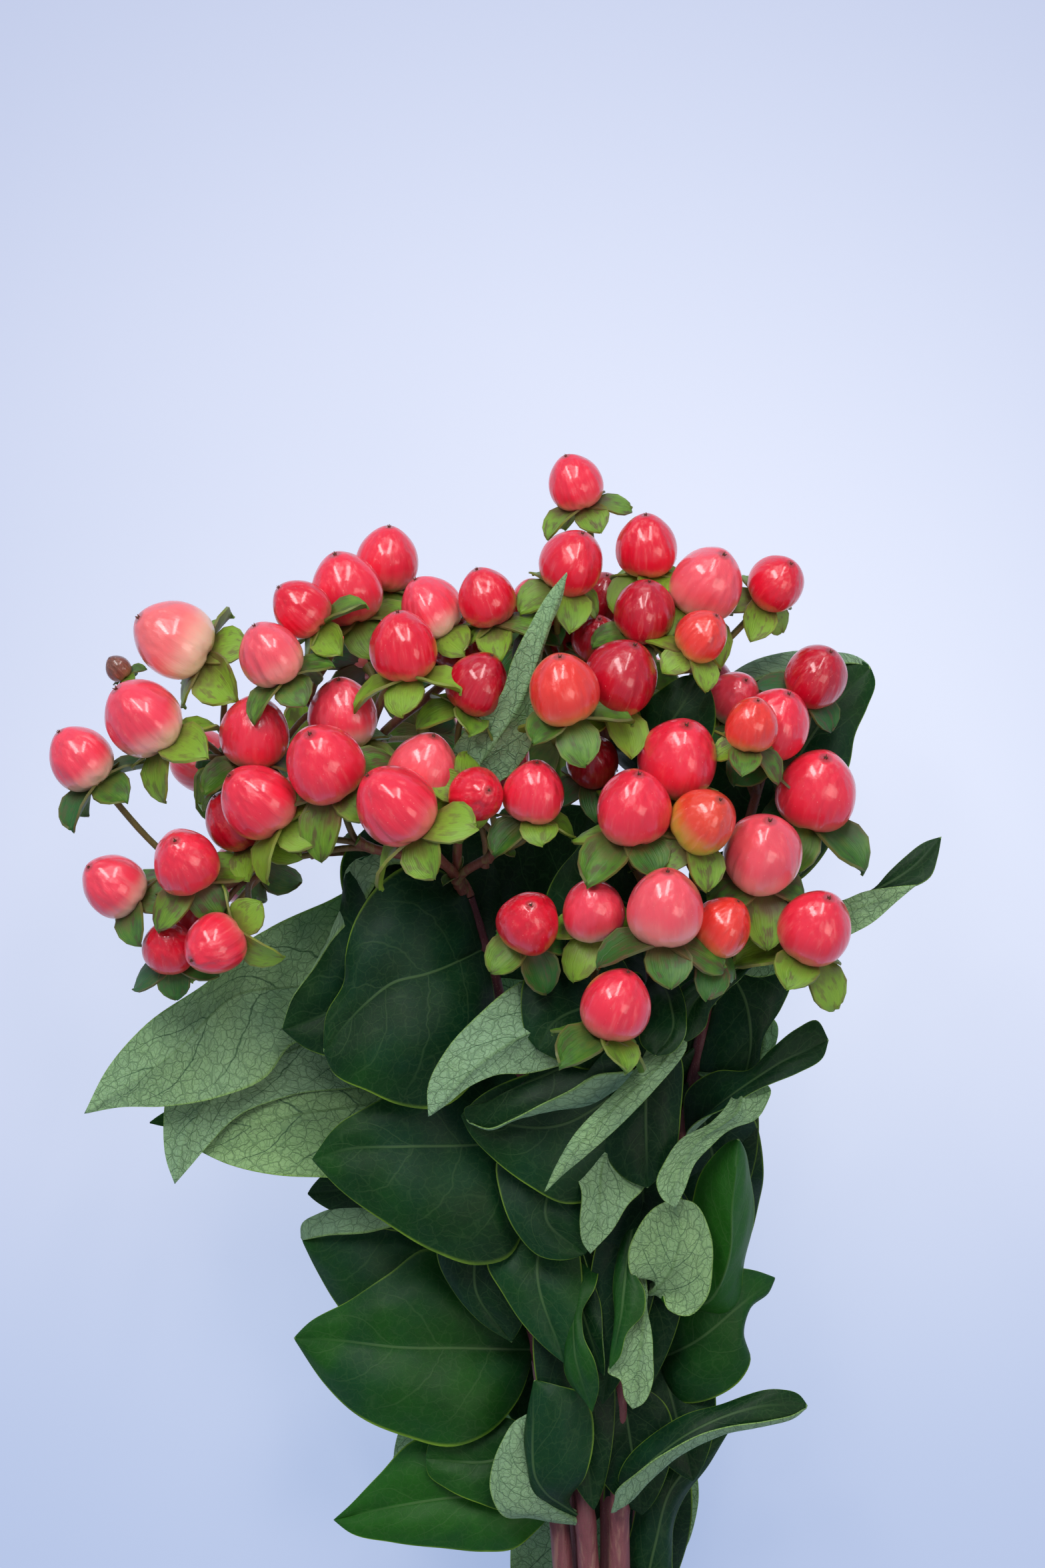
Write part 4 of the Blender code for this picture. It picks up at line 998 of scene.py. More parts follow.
@dataclass(frozen=True)
class BerryFinish(Finish):
    """Glossy berry skin: its ripeness is on the mesh, with faint streaks from base to tip."""

    name = "berry_skin"
    bloom: Colour = paint(255, 150, 140)
    scar: Colour = paint(92, 52, 36)
    relief: float = 0.9

    def sockets(self, graph: Graph) -> dict[str, "Wire | float | Colour"]:
        """Return what this finish sets on the shader.

        Args:
            graph: The material's nodes.

        Returns:
            A value or a wire for each socket, by name.
        """
        rest = graph.attribute("rest", "Vector")
        skin = graph.attribute("skin", "Color")
        heel = graph.attribute("heel", "Color")
        reach = graph.attribute("reach")
        nub = graph.attribute("nub")
        seed = graph.attribute("seed")
        x, y, z = graph.parts(rest)
        shift = graph.node("ShaderNodeCombineXYZ", None, {0: seed, 1: seed, 2: seed})
        shifted = graph.node("ShaderNodeVectorMath", None, {0: rest, 1: shift})
        blotch = graph.noise(shifted, 1.1)
        streak = graph.noise(graph.stretched(shifted, (7.0, 7.0, 0.55)), 1.0, 4.0, 0.6)
        furrow = graph.noise(graph.stretched(shifted, (2.6, 2.6, 0.3)), 1.0, 1.0)
        height = (z + 1.0) * 0.5
        pale = graph.step(height - reach * 0.55 + (blotch - 0.5) * 0.35, 0.22, -0.2)
        colour = graph.mix(skin, heel, pale)
        colour = graph.mix(colour, self.bloom, graph.step(streak, 0.5, 0.85) * 0.3)
        colour = graph.shaded(colour, 0.97 + blotch * 0.2)
        around = x * x + y * y
        crown = graph.step(around, 0.05, 0.012) * graph.step(z, 0.5, 0.8)
        colour = graph.mix(colour, self.scar, crown * 0.45)
        colour = graph.mix(colour, self.scar, nub)
        dots = graph.node("ShaderNodeTexVoronoi", None, {"Vector": shifted, "Scale": 5.0})
        colour = graph.mix(colour, self.bloom, graph.step(dots, 0.09, 0.04) * 0.6)
        return {
            "Base Color": colour,
            "Roughness": 0.23 + streak * 0.14 + nub * 0.4,
            "Subsurface Weight": 0.25,
            "Subsurface Radius": (1.0, 0.25, 0.2),
            "Subsurface Scale": 0.0018,
            "Coat Weight": 0.75 - nub * 0.75,
            "Coat Roughness": 0.11,
            "Normal": self.bump(graph, furrow + streak * 0.14, self.relief),
        }


@dataclass(frozen=True)
class SepalFinish(Finish):
    """Satin sepal: yellow-green to green with fine lengthwise veins and a brown blush at its base."""

    name = "sepal_skin"
    lime: Colour = paint(127, 167, 44)
    green: Colour = paint(38, 97, 32)
    blush: Colour = paint(98, 60, 50)
    edge: Colour = paint(128, 100, 62)
    relief: float = 0.12

    def sockets(self, graph: Graph) -> dict[str, "Wire | float | Colour"]:
        """Return what this finish sets on the shader.

        Args:
            graph: The material's nodes.

        Returns:
            A value or a wire for each socket, by name.
        """
        across, along, _ = graph.parts(graph.attribute("blade", "Vector"))
        tone = graph.attribute("tone")
        shade = graph.attribute("shade")
        place = graph.node("ShaderNodeCombineXYZ", None, {0: across * 1.7, 1: along * 2.6, 2: tone * 30.0})
        cloud = graph.noise(place, 1.3)
        fibre = graph.noise(graph.stretched(place, (9.0, 0.4, 1.0)), 1.0, 3.0)
        colour = graph.mix(self.lime, self.green, graph.step(tone + (cloud - 0.5) * 0.7, 0.1, 0.95))
        colour = graph.shaded(colour, 0.88 + fibre * 0.26)
        brown = graph.step(along + (cloud - 0.5) * 0.9, 0.66, 0.26) * shade
        patch = graph.step(cloud + (fibre - 0.5) * 0.4, 0.51, 0.64) * shade
        colour = graph.mix(colour, self.blush, graph.maths("MAXIMUM", brown * 0.85, patch * 0.7))
        colour = graph.mix(colour, self.edge, graph.step(abs(across), 0.86, 1.0) * 0.4)
        return {
            "Base Color": colour,
            "Roughness": 0.42 + cloud * 0.16,
            "Subsurface Weight": 0.15,
            "Subsurface Radius": (0.7, 1.0, 0.25),
            "Subsurface Scale": 0.001,
            "Normal": self.bump(graph, fibre, self.relief),
        }


@dataclass(frozen=True)
class BarkFinish(Finish):
    """Smooth young bark: one colour at the top of a stem that runs into another at its cut end, with
    lengthwise streaks towards the cut end that are partly the bark's own striping and partly painted
    highlight.
    """

    name: str = "stem_bark"
    upper: Colour = paint(86, 34, 42)
    lower: Colour = paint(130, 74, 78)
    # Streak colour: partly the bark's own striping, partly a painted highlight.
    streak: Colour = paint(158, 124, 104)
    pale: Colour = paint(206, 196, 150)
    relief: float = 0.16

    def sockets(self, graph: Graph) -> dict[str, "Wire | float | Colour"]:
        """Return what this finish sets on the shader.

        Args:
            graph: The material's nodes.

        Returns:
            A value or a wire for each socket, by name.
        """
        place = graph.node("ShaderNodeTexCoord", None, None, "Object")
        along = graph.attribute("along")
        grain = graph.noise(graph.stretched(place, (1600.0, 120.0, 1600.0)), 1.0, 3.0)
        band = graph.noise(graph.stretched(place, (520.0, 11.0, 520.0)), 1.0, 2.0)
        cloud = graph.noise(place, 60.0)
        dots = {"Vector": graph.stretched(place, (900.0, 260.0, 900.0))}
        lenticel = graph.node("ShaderNodeTexVoronoi", None, dots)
        speck = graph.step(lenticel, 0.22, 0.1)
        colour = graph.mix(self.lower, self.upper, graph.step(along + (cloud - 0.5) * 0.5, 0.2, 0.8))
        # Lengthwise streaks, strongest low on the stem: partly the bark's own striping, partly painted
        # highlight.
        streaks_and_highlight = graph.step(band + (grain - 0.5) * 0.5, 0.5, 0.66) * graph.step(along, 0.9, 0.2)
        colour = graph.mix(colour, self.streak, streaks_and_highlight * 0.55)
        colour = graph.shaded(colour, 0.72 + grain * 0.56)
        colour = graph.mix(colour, self.pale, speck * 0.3)
        return {
            "Base Color": colour,
            "Roughness": 0.42 + grain * 0.24,
            "Normal": self.bump(graph, grain + speck * 0.5, self.relief),
        }


@dataclass(frozen=True)
class BandFinish(Finish):
    """Natural rubber: matt tan with a powdery bloom."""

    name = "band_rubber"
    tan: Colour = paint(196, 160, 112)
    dusty: Colour = paint(220, 200, 166)
    relief: float = 0.06

    def sockets(self, graph: Graph) -> dict[str, "Wire | float | Colour"]:
        """Return what this finish sets on the shader.

        Args:
            graph: The material's nodes.

        Returns:
            A value or a wire for each socket, by name.
        """
        place = graph.node("ShaderNodeTexCoord", None, None, "Object")
        cloud = graph.noise(place, 700.0, 5.0, 0.6)
        return {
            "Base Color": graph.mix(self.tan, self.dusty, graph.step(cloud, 0.4, 0.7)),
            "Roughness": 0.55 + cloud * 0.2,
            "Normal": self.bump(graph, cloud, self.relief),
        }


@dataclass(frozen=True)
class FloorFinish(Finish):
    """A plain pale surface that glows: a painted pool of light round the middle of the picture, dimmer and
    bluer at the bottom, that also washes out the bunch's shadows.
    """

    name = "floor_paper"
    tint: Colour = paint(125, 123, 116)
    glow: Colour = paint(208, 217, 240)
    rim_glow: Colour = paint(145, 161, 201)
    low_glow: Colour = paint(129, 159, 207)
    glow_centre: Point = (0.02, 0.13, 0.0)
    glow_reach: float = 0.24
    low_start: float = 0.11

    def sockets(self, graph: Graph) -> dict[str, "Wire | float | Colour"]:
        """Return what this finish sets on the shader.

        Args:
            graph: The material's nodes.

        Returns:
            A value or a wire for each socket, by name.
        """
        place = graph.node("ShaderNodeTexCoord", None, None, "Object")
        upward = graph.parts(place)[1]
        grain = graph.noise(place, 900.0, 4.0)
        away = graph.node("ShaderNodeVectorMath", {"operation": "SUBTRACT"}, {0: place, 1: self.glow_centre})
        reach = graph.node("ShaderNodeVectorMath", {"operation": "LENGTH"}, {0: away}, "Value")
        # Painted light: the emission makes a pool of light round glow_centre and fills in the bunch's
        # shadows.
        light_pool = graph.mix(self.glow, self.rim_glow, graph.step(reach, 0.0, self.glow_reach))
        # Painted shade: towards the bottom the glow turns dimmer and bluer.
        lower = graph.step(upward, self.low_start, 0.0)
        return {
            "Base Color": graph.shaded(self.tint, 0.99 + grain * 0.02),
            "Roughness": 0.9,
            "Emission Color": graph.mix(light_pool, self.low_glow, lower * 0.5),
            "Emission Strength": 1.0,
        }


def store(mesh: bpy.types.Mesh, name: str, kind: str, values: np.ndarray) -> None:
    """Store values on a mesh's points, under a name that materials and node trees read.

    Args:
        mesh: The mesh.
        name: The name.
        kind: FLOAT, INT or FLOAT_VECTOR.
        values: One value or one row for each point.
    """
    layer = mesh.attributes.new(name, kind, "POINT")
    part = {"FLOAT": "value", "INT": "value", "FLOAT_VECTOR": "vector"}[kind]
    plain = np.ascontiguousarray(values, np.int32 if kind == "INT" else np.float32)
    layer.data.foreach_set(part, plain.ravel())


def object_of(mesh: bpy.types.Mesh, name: str) -> bpy.types.Object:
    """Put a mesh into the scene as an object at the origin.

    Args:
        mesh: The mesh.
        name: The object's name.

    Returns:
        The object.
    """
    piece = bpy.data.objects.new(name, mesh)
    bpy.context.scene.collection.objects.link(piece)
    return piece


def finished(piece: bpy.types.Object, slot: str, *nodes: str) -> None:
    """Put a piece on its body, hide the solids that it stands for and log its faces.

    Args:
        piece: The piece.
        slot: Not used.
        nodes: The solids' names.
    """
    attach(piece, BODY)
    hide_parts(*nodes)
    LOG.info("%s: %d faces", piece.name, len(piece.data.polygons))


class Lamina:
    """Collects thin two-faced blades, such as leaves, into one mesh."""

    def __init__(self) -> None:
        """Start with no blades."""
        self.points: list[np.ndarray] = []
        self.faces: list[np.ndarray] = []
        self.blade: list[np.ndarray] = []
        self.veins: list[np.ndarray] = []
        self.tone: list[np.ndarray] = []
        self.count = 0

    def add(self, middle: np.ndarray, above: np.ndarray, below: np.ndarray, blade: np.ndarray,
            veins: np.ndarray, tone: float) -> None:
        """Add one blade.

        Args:
            middle: The places of its middle surface, in rows from base to tip.
            above: How far its upper face is from the middle surface at each place.
            below: How far its lower face is.
            blade: The share across and the share along at each place.
            veins: The vein pattern's phase and the flat place across and along.
            tone: How light it is.
        """
        normal = np.cross(np.gradient(middle, axis=1), np.gradient(middle, axis=0))
        normal /= np.maximum(np.linalg.norm(normal, axis=2, keepdims=True), 1e-9)
        rows, columns = middle.shape[:2]
        for offset, side in ((above, 1.0), (-below, -1.0)):
            self.points.append((middle + normal * offset[..., None]).reshape(-1, 3))
            sided = np.dstack([blade, np.full((rows, columns), side)])
            self.blade.append(sided.reshape(-1, 3))
            self.veins.append(veins.reshape(-1, 3))
            self.tone.append(np.full(rows * columns, tone))
        top = np.arange(rows * columns).reshape(rows, columns) + self.count
        under = top + rows * columns
        self.quads(top[:-1, :-1], top[:-1, 1:], top[1:, 1:], top[1:, :-1])
        self.quads(under[:-1, :-1], under[1:, :-1], under[1:, 1:], under[:-1, 1:])
        self.quads(top[:-1, 0], top[1:, 0], under[1:, 0], under[:-1, 0])
        self.quads(top[1:, -1], top[:-1, -1], under[:-1, -1], under[1:, -1])
        self.quads(top[0, 1:], top[0, :-1], under[0, :-1], under[0, 1:])
        self.quads(top[-1, :-1], top[-1, 1:], under[-1, 1:], under[-1, :-1])
        self.count += 2 * rows * columns

    def quads(self, *corners: np.ndarray) -> None:
        """Add faces whose four corners are given by four arrays of numbers."""
        self.faces.append(np.stack([corner.ravel() for corner in corners], axis=1))

    def mesh(self, name: str, scale: float = MM) -> bpy.types.Mesh:
        """Return the blades as one mesh, with the points that share a place joined.

        Args:
            name: The mesh's name.
            scale: The length of a unit, in metres.

        Returns:
            The mesh.
        """
        made = bpy.data.meshes.new(name)
        points = np.concatenate(self.points) * scale
        made.from_pydata(points, [], np.concatenate(self.faces).tolist())
        made.update()
        store(made, "blade", "FLOAT_VECTOR", np.concatenate(self.blade))
        store(made, "veins", "FLOAT_VECTOR", np.concatenate(self.veins))
        store(made, "tone", "FLOAT", np.concatenate(self.tone))
        welded = bmesh.new()
        welded.from_mesh(made)
        bmesh.ops.remove_doubles(welded, verts=welded.verts, dist=WELD_GAP)
        welded.to_mesh(made)
        welded.free()
        made.shade_smooth()
        made.set_sharp_from_angle(angle=SHARP_ANGLE)
        return made


def leaf_piece(name: str, lamina: Lamina) -> bpy.types.Object:
    """Make an object of leaves, with their finish.

    Args:
        name: The object's name.
        lamina: The leaves.

    Returns:
        The object.
    """
    piece = object_of(lamina.mesh(name), name)
    piece.data.materials.append(LeafFinish().material())
    return piece


def width_share(share: np.ndarray, base: float, tip: float) -> np.ndarray:
    """Return a blade's half width along its length.

    Args:
        share: The places along it, from 0 to 1.
        base: How slender its base is.
        tip: How slender its tip is.

    Returns:
        The half widths, as shares of the largest.
    """
    widest = base / (base + tip)
    peak = widest ** base * (1 - widest) ** tip
    return share ** base * (1 - share) ** tip / peak


def smooth_line(points: list[Point] | list[np.ndarray], share: np.ndarray) -> np.ndarray:
    """Return places on a smooth line through points.

    Args:
        points: The points.
        share: Where the places are, as shares of the way through.

    Returns:
        One place in each row.
    """
    knots = np.array(points, float)
    steps = np.maximum(np.linalg.norm(np.diff(knots, axis=0), axis=1), 1e-4)
    at = np.concatenate([[0.0], np.cumsum(steps)]) / steps.sum()
    slopes = np.gradient(knots, at, axis=0)
    index = np.clip(np.searchsorted(at, share, side="right") - 1, 0, len(at) - 2)
    gap = (at[index + 1] - at[index])[:, None]
    t = (share - at[index])[:, None] / gap
    here = (2 * t ** 3 - 3 * t ** 2 + 1) * knots[index] + (t ** 3 - 2 * t ** 2 + t) * gap * slopes[index]
    there = (3 * t ** 2 - 2 * t ** 3) * knots[index + 1] + (t ** 3 - t ** 2) * gap * slopes[index + 1]
    return here + there


@dataclass
class LeafMaker:
    """Makes leaves as blades with their folds, waves and veins."""

    rows: int = 56
    side_columns: int = 12
    base_power: float = 0.45
    root_half_width: float = 1.3
    tip_half_width: float = 0.12
    half_thickness: float = 0.2
    vein_pairs: float = 5.0
    rib_raise: float = 0.4
    rib_groove: float = 0.12
    quilt: float = 0.07
    base_clasp: float = 34.0
    end_crowding: float = 0.45
    plain_waves: tuple[float, float] = (1.6, 2.6)
    shaped_waves: tuple[float, float] = (12, 18)
    vein_slant: float = 0.26
    vein_bend: float = 0.16
    vein_shift: float = 0.12
    rib_half_width: float = 0.55
    rib_slimming: float = 0.7
    rim_thinning: float = 0.45
    full_quilt_width: float = 8.0

    def shares(self) -> np.ndarray:
        """Return the places of a leaf's rows along it, which lie closer together at its two ends.

        Returns:
            The places, from 0 to 1.
        """
        t = np.linspace(0, 1, self.rows)
        return (1 - self.end_crowding) * t + self.end_crowding * (1 - np.cos(np.pi * t)) / 2

    def add(self, lamina: Lamina, leaf: Leaf, start: Vector, seed: int) -> None:
        """Add one plain leaf to a mesh.

        Args:
            lamina: The mesh that it is added to.
            leaf: The leaf.
            start: Where it leaves its stem.
            seed: What its margins' waves are drawn from.
        """
        luck = random.Random(seed)
        base = np.array(start)
        tip = np.array(leaf.tip, float)
        control = (base + tip) / 2 + np.array((0, 0, leaf.lift))
        share = self.shares()
        s = share[:, None]
        spine = base * (1 - s) ** 2 + control * 2 * s * (1 - s) + tip * s ** 2
        along = (control - base) * (1 - s) + (tip - control) * s
        along /= np.linalg.norm(along, axis=1, keepdims=True)
        up = np.array((0.0, 0.0, 1.0)) - along * along[:, 2:3]
        up /= np.linalg.norm(up, axis=1, keepdims=True)
        turn = np.radians(leaf.roll[0] + (leaf.roll[1] - leaf.roll[0]) * s)
        up = up * np.cos(turn) + np.cross(along, up) * np.sin(turn)
        across = np.cross(along, up)
        length = float(np.linalg.norm(np.diff(spine, axis=0), axis=1).sum())
        half = leaf.half_width * width_share(share, self.base_power, leaf.point)
        half = np.maximum(half, self.root_half_width * (1 - share) ** 3 + self.tip_half_width)

        u = np.linspace(0, 1, self.side_columns + 1)
        middle = (u[1:] + u[:-1]) / 2
        fold = leaf.fold + self.base_clasp * (1 - s) ** 6
        slope = np.radians(fold - (fold + leaf.curl) * middle ** 1.5)
        flat = np.pad(np.cumsum(np.cos(slope), axis=1), ((0, 0), (1, 0))) / self.side_columns
        rise = np.pad(np.cumsum(np.sin(slope), axis=1), ((0, 0), (1, 0))) / self.side_columns
        sides = []
        for sign in (-1, 1):
            swing = luck.uniform(0, 1)
            waves = luck.uniform(*self.plain_waves)
            pulse = np.sin(2 * np.pi * (waves * s + swing)) * np.sin(np.pi * s) ** 0.7
            lift = rise * half[:, None] + leaf.wave * pulse * u ** 2
            place = spine[:, None] + across[:, None] * (sign * flat * half[:, None])[..., None]
            place = place + up[:, None] * lift[..., None]
            sides.append((place, sign * u))
        self.finish(lamina, sides, share, length, leaf.tone)

    def shape(self, lamina: Lamina, leaf: ShapedLeaf, seed: int) -> None:
        """Add one leaf that is drawn line by line.

        Args:
            lamina: The mesh that it is added to.
            leaf: The leaf.
            seed: What its margins' waves are drawn from.
        """
        luck = random.Random(seed)
        share = self.shares()
        base, tip = leaf.rib[0], leaf.rib[-1]
        spine = smooth_line(leaf.rib, share)
        along = np.gradient(spine, axis=0)
        along /= np.linalg.norm(along, axis=1, keepdims=True)
        u = np.linspace(0, 1, self.side_columns + 1)
        sides = []
        for sign, margin, hem in ((-1, leaf.left, leaf.left_hem), (1, leaf.right, leaf.right_hem)):
            edge = smooth_line([base, *margin, tip], share)
            normal = np.cross((edge - spine) * sign, along)
            normal /= np.maximum(np.linalg.norm(normal, axis=1, keepdims=True), 1e-6)
            width = np.linalg.norm(edge - spine, axis=1, keepdims=True)
            crown = (spine + edge) / 2 + normal * width * leaf.arch
            knots = [spine, crown, edge]
            if hem:
                knots.append(smooth_line([base, *hem, tip], share))
            place = np.stack([smooth_line([knot[row] for knot in knots], u) for row in range(self.rows)])
            swing = luck.uniform(0, 2 * np.pi)
            pulse = np.sin(luck.uniform(*self.shaped_waves) * share + swing) * np.sin(np.pi * share)
            place += normal[:, None] * (leaf.wave * pulse[:, None] * u ** 2)[..., None]
            sides.append((place, sign * u))
        length = float(np.linalg.norm(np.diff(spine, axis=0), axis=1).sum())
        self.finish(lamina, sides, share, length, leaf.tone)

    def finish(self, lamina: Lamina, sides: list[tuple[np.ndarray, np.ndarray]], share: np.ndarray,
               length: float, tone: float) -> None:
        """Join a leaf's two halves, give them thickness, ribs and quilting, and add them to a mesh.

        Args:
            lamina: The mesh.
            sides: The places of each half from the midrib outwards, and their shares across.
            share: The share along of each row.
            length: The length of the midrib.
            tone: How light the leaf is.
        """
        s = share[:, None]
        middle = np.concatenate([sides[0][0][:, :0:-1], sides[1][0]], axis=1)
        u = np.concatenate([sides[0][1][:0:-1], sides[1][1]])[None, :]
        size = np.abs(u)
        halves = []
        for place, _ in sides:
            steps = np.linalg.norm(np.diff(place, axis=1), axis=2)
            halves.append(np.pad(np.cumsum(steps, axis=1), ((0, 0), (1, 0))))
        wide = np.concatenate([-halves[0][:, :0:-1], halves[1]], axis=1)
        half = np.maximum(np.where(u < 0, halves[0][:, -1:], halves[1][:, -1:]), 0.5)
        phase = s - self.vein_slant * size - self.vein_bend * size ** 3 * (1 - 0.4 * s)
        phase = phase * self.vein_pairs + np.where(u > 0, 0.0, self.vein_shift)
        rib = np.exp(-(wide / self.rib_half_width) ** 2) * (1 - self.rib_slimming * s)
        fullness = np.minimum(1, half / self.full_quilt_width)
        between = -np.cos(2 * np.pi * phase) * (1 - size ** 3) * fullness
        thick = np.broadcast_to(self.half_thickness * (1 - self.rim_thinning * size ** 4), wide.shape)
        quilt = self.quilt * between
        blade = np.dstack([np.broadcast_to(u, wide.shape), np.broadcast_to(s, wide.shape)])
        veins = np.dstack([phase, wide, np.broadcast_to(s * length, wide.shape)])
        above = thick - self.rib_groove * rib + quilt
        below = thick + self.rib_raise * rib - quilt
        lamina.add(middle, above, below, blade, veins, tone)


@dataclass
class Strand:
    """A stretch of stem or stalk: its points and radii in millimetres, and where it lies in its colouring."""

    points: list[Vector]
    radii: list[float]
    along: list[float]


def bezier(start: Vector, handle_a: Vector, handle_b: Vector, end: Vector, steps: int) -> list[Vector]:
    """Return points on a cubic Bezier curve.

    Args:
        start: Its start.
        handle_a: The first handle.
        handle_b: The second handle.
        end: Its end.
        steps: How many stretches it has.

    Returns:
        The points, with both ends.
    """
    result = []
    for step in range(steps + 1):
        t = step / steps
        s = 1 - t
        result.append(start * s ** 3 + handle_a * 3 * s * s * t + handle_b * 3 * s * t * t + end * t ** 3)
    return result


def catmull(points: list[Point], steps: int) -> list[Vector]:
    """Return points on a smooth curve through the given ones.

    Args:
        points: The points that it runs through.
        steps: How many points there are for each stretch between two of them.

    Returns:
        The points, with both ends.
    """
    knots = [Vector(point) for point in points]
    ends = [knots[0] * 2 - knots[1]] + knots + [knots[-1] * 2 - knots[-2]]
    result = []
    for index in range(1, len(ends) - 2):
        before, here, there, after = ends[index - 1:index + 3]
        for step in range(steps):
            t = step / steps
            bend = (2 * before - 5 * here + 4 * there - after) * t ** 2
            tail = (3 * here - before - 3 * there + after) * t ** 3
            result.append(0.5 * (2 * here + (there - before) * t + bend + tail))
    result.append(knots[-1])
    return result


def stem_course(number: int) -> list[Vector]:
    """Return a stem's middle line."""
    return catmull(STEMS[number], COURSE_STEPS)


def point_at(course: list[Vector], height: float) -> Vector:
    """Return the point of a course at a height y.

    Args:
        course: The course, from its lowest y to its highest.
        height: The height.

    Returns:
        The point, or the course's end where the height is past it.
    """
    for first, second in zip(course, course[1:]):
        if first.y <= height <= second.y:
            return first.lerp(second, (height - first.y) / (second.y - first.y))
    return course[-1]


class Recipe:
    """A Geometry Nodes tree with named inputs, and the modifier that runs it once."""

    def __init__(self, name: str, inputs: dict[str, str]) -> None:
        """Make the tree with its geometry sockets and the named inputs.

        Args:
            name: The tree's name.
            inputs: Each input's name and socket type.
        """
        self.tree = bpy.data.node_groups.new(name, "GeometryNodeTree")
        self.tree.interface.new_socket("Geometry", in_out="INPUT", socket_type="NodeSocketGeometry")
        for label, kind in inputs.items():
            self.tree.interface.new_socket(label, in_out="INPUT", socket_type=kind)
        self.tree.interface.new_socket("Geometry", in_out="OUTPUT", socket_type="NodeSocketGeometry")
        self.graph = Graph(self.tree)
        self.source = self.tree.nodes.new("NodeGroupInput")

    def input(self, label: str) -> Wire:
        """Return one of the tree's inputs."""
        return Wire(self.graph, self.source.outputs[label])

    def close(self, geometry: Wire) -> None:
        """End the tree: make instances real, set the material and lead to the output.

        Args:
            geometry: What the tree has made.
        """
        real = self.graph.node("GeometryNodeRealizeInstances", None, {"Geometry": geometry})
        dressing = {"Geometry": real, "Material": self.input("Finish")}
        dressed = self.graph.node("GeometryNodeSetMaterial", None, dressing)
        end = self.tree.nodes.new("NodeGroupOutput")
        self.tree.links.new(dressed.socket, end.inputs[0])

    def run(self, host: bpy.types.Object, values: dict[str, object]) -> bpy.types.Object:
        """Run the tree on an object and return its result as a plain mesh object of the same name.

        Args:
            host: The object whose mesh the tree starts from. It is removed.
            values: A value for each of the tree's named inputs.

        Returns:
            The new object.
        """
        name = host.name
        modifier = host.modifiers.new("recipe", "NODES")
        modifier.node_group = self.tree
        for item in self.tree.interface.items_tree:
            if item.in_out == "INPUT" and item.name in values:
                modifier[item.identifier] = values[item.name]
        host.update_tag()
        bpy.context.view_layer.update()
        depsgraph = bpy.context.evaluated_depsgraph_get()
        evaluated = host.evaluated_get(depsgraph)
        mesh = bpy.data.meshes.new_from_object(
            evaluated, preserve_all_data_layers=True, depsgraph=depsgraph)
        host.modifiers.remove(modifier)
        bpy.data.objects.remove(host, do_unlink=True)
        mesh.name = name
        return object_of(mesh, name)


class Sweep(Recipe):
    """Turns chains of marked points into round stems with a little ridging."""

    ridge_scale = 420.0

    def __init__(self) -> None:
        """Build the tree."""
        super().__init__("strands_swept", {
            "Sides": "NodeSocketInt", "Ridge": "NodeSocketFloat", "Finish": "NodeSocketMaterial",
        })
        graph = self.graph
        curve = graph.node("GeometryNodeMeshToCurve", None, {"Mesh": self.input("Geometry")})
        girth = graph.node("GeometryNodeInputNamedAttribute", {"data_type": "FLOAT"}, {"Name": "girth"})
        circle = {"Resolution": self.input("Sides"), "Radius": 1.0}
        ring = graph.node("GeometryNodeCurvePrimitiveCircle", None, circle)
        swept = graph.node("GeometryNodeCurveToMesh", None, {
            "Curve": curve, "Profile Curve": ring, "Scale": girth, "Fill Caps": True,
        })
        place = graph.node("GeometryNodeInputPosition")
        push = (graph.noise(place, self.ridge_scale, 2.0) - 0.5) * self.input("Ridge")
        normal = graph.node("GeometryNodeInputNormal")
        offset = graph.node("ShaderNodeVectorMath", {"operation": "SCALE"}, {0: normal, "Scale": push})
        moved = graph.node("GeometryNodeSetPosition", None, {"Geometry": swept, "Offset": offset})
        smooth = graph.node("GeometryNodeSetShadeSmooth", None, {"Geometry": moved, "Shade Smooth": True})
        self.close(smooth)

    def make(self, name: str, strands: list[Strand], finish: Finish, sides: int, ridge: float,
             closed: bool = False) -> bpy.types.Object:
        """Sweep strands into one mesh object.

        Args:
            name: The object's name.
            strands: The strands.
            finish: Its finish.
            sides: How many sides a strand has round it.
            ridge: How far its surface wanders, in millimetres.
            closed: Whether each strand is a loop.

        Returns:
            The object.
        """
        points, edges, girth, along = [], [], [], []
        for strand in strands:
            first = len(points)
            points += [point * MM for point in strand.points]
            girth += [radius * MM for radius in strand.radii]
            along += strand.along
            edges += [(first + step, first + step + 1) for step in range(len(strand.points) - 1)]
            if closed:
                edges.append((len(points) - 1, first))
        mesh = bpy.data.meshes.new(name)
        mesh.from_pydata(points, edges, [])
        store(mesh, "girth", "FLOAT", np.array(girth))
        store(mesh, "along", "FLOAT", np.array(along))
        values = {"Sides": sides, "Ridge": ridge * MM, "Finish": finish.material()}
        return self.run(object_of(mesh, name), values)


@dataclass
class Mark:
    """Where and how one copy of a shape stands, with the values that its material reads."""

    place: Vector
    turn: Euler
    size: Vector
    kind: int
    values: dict[str, float | tuple[float, float, float]]


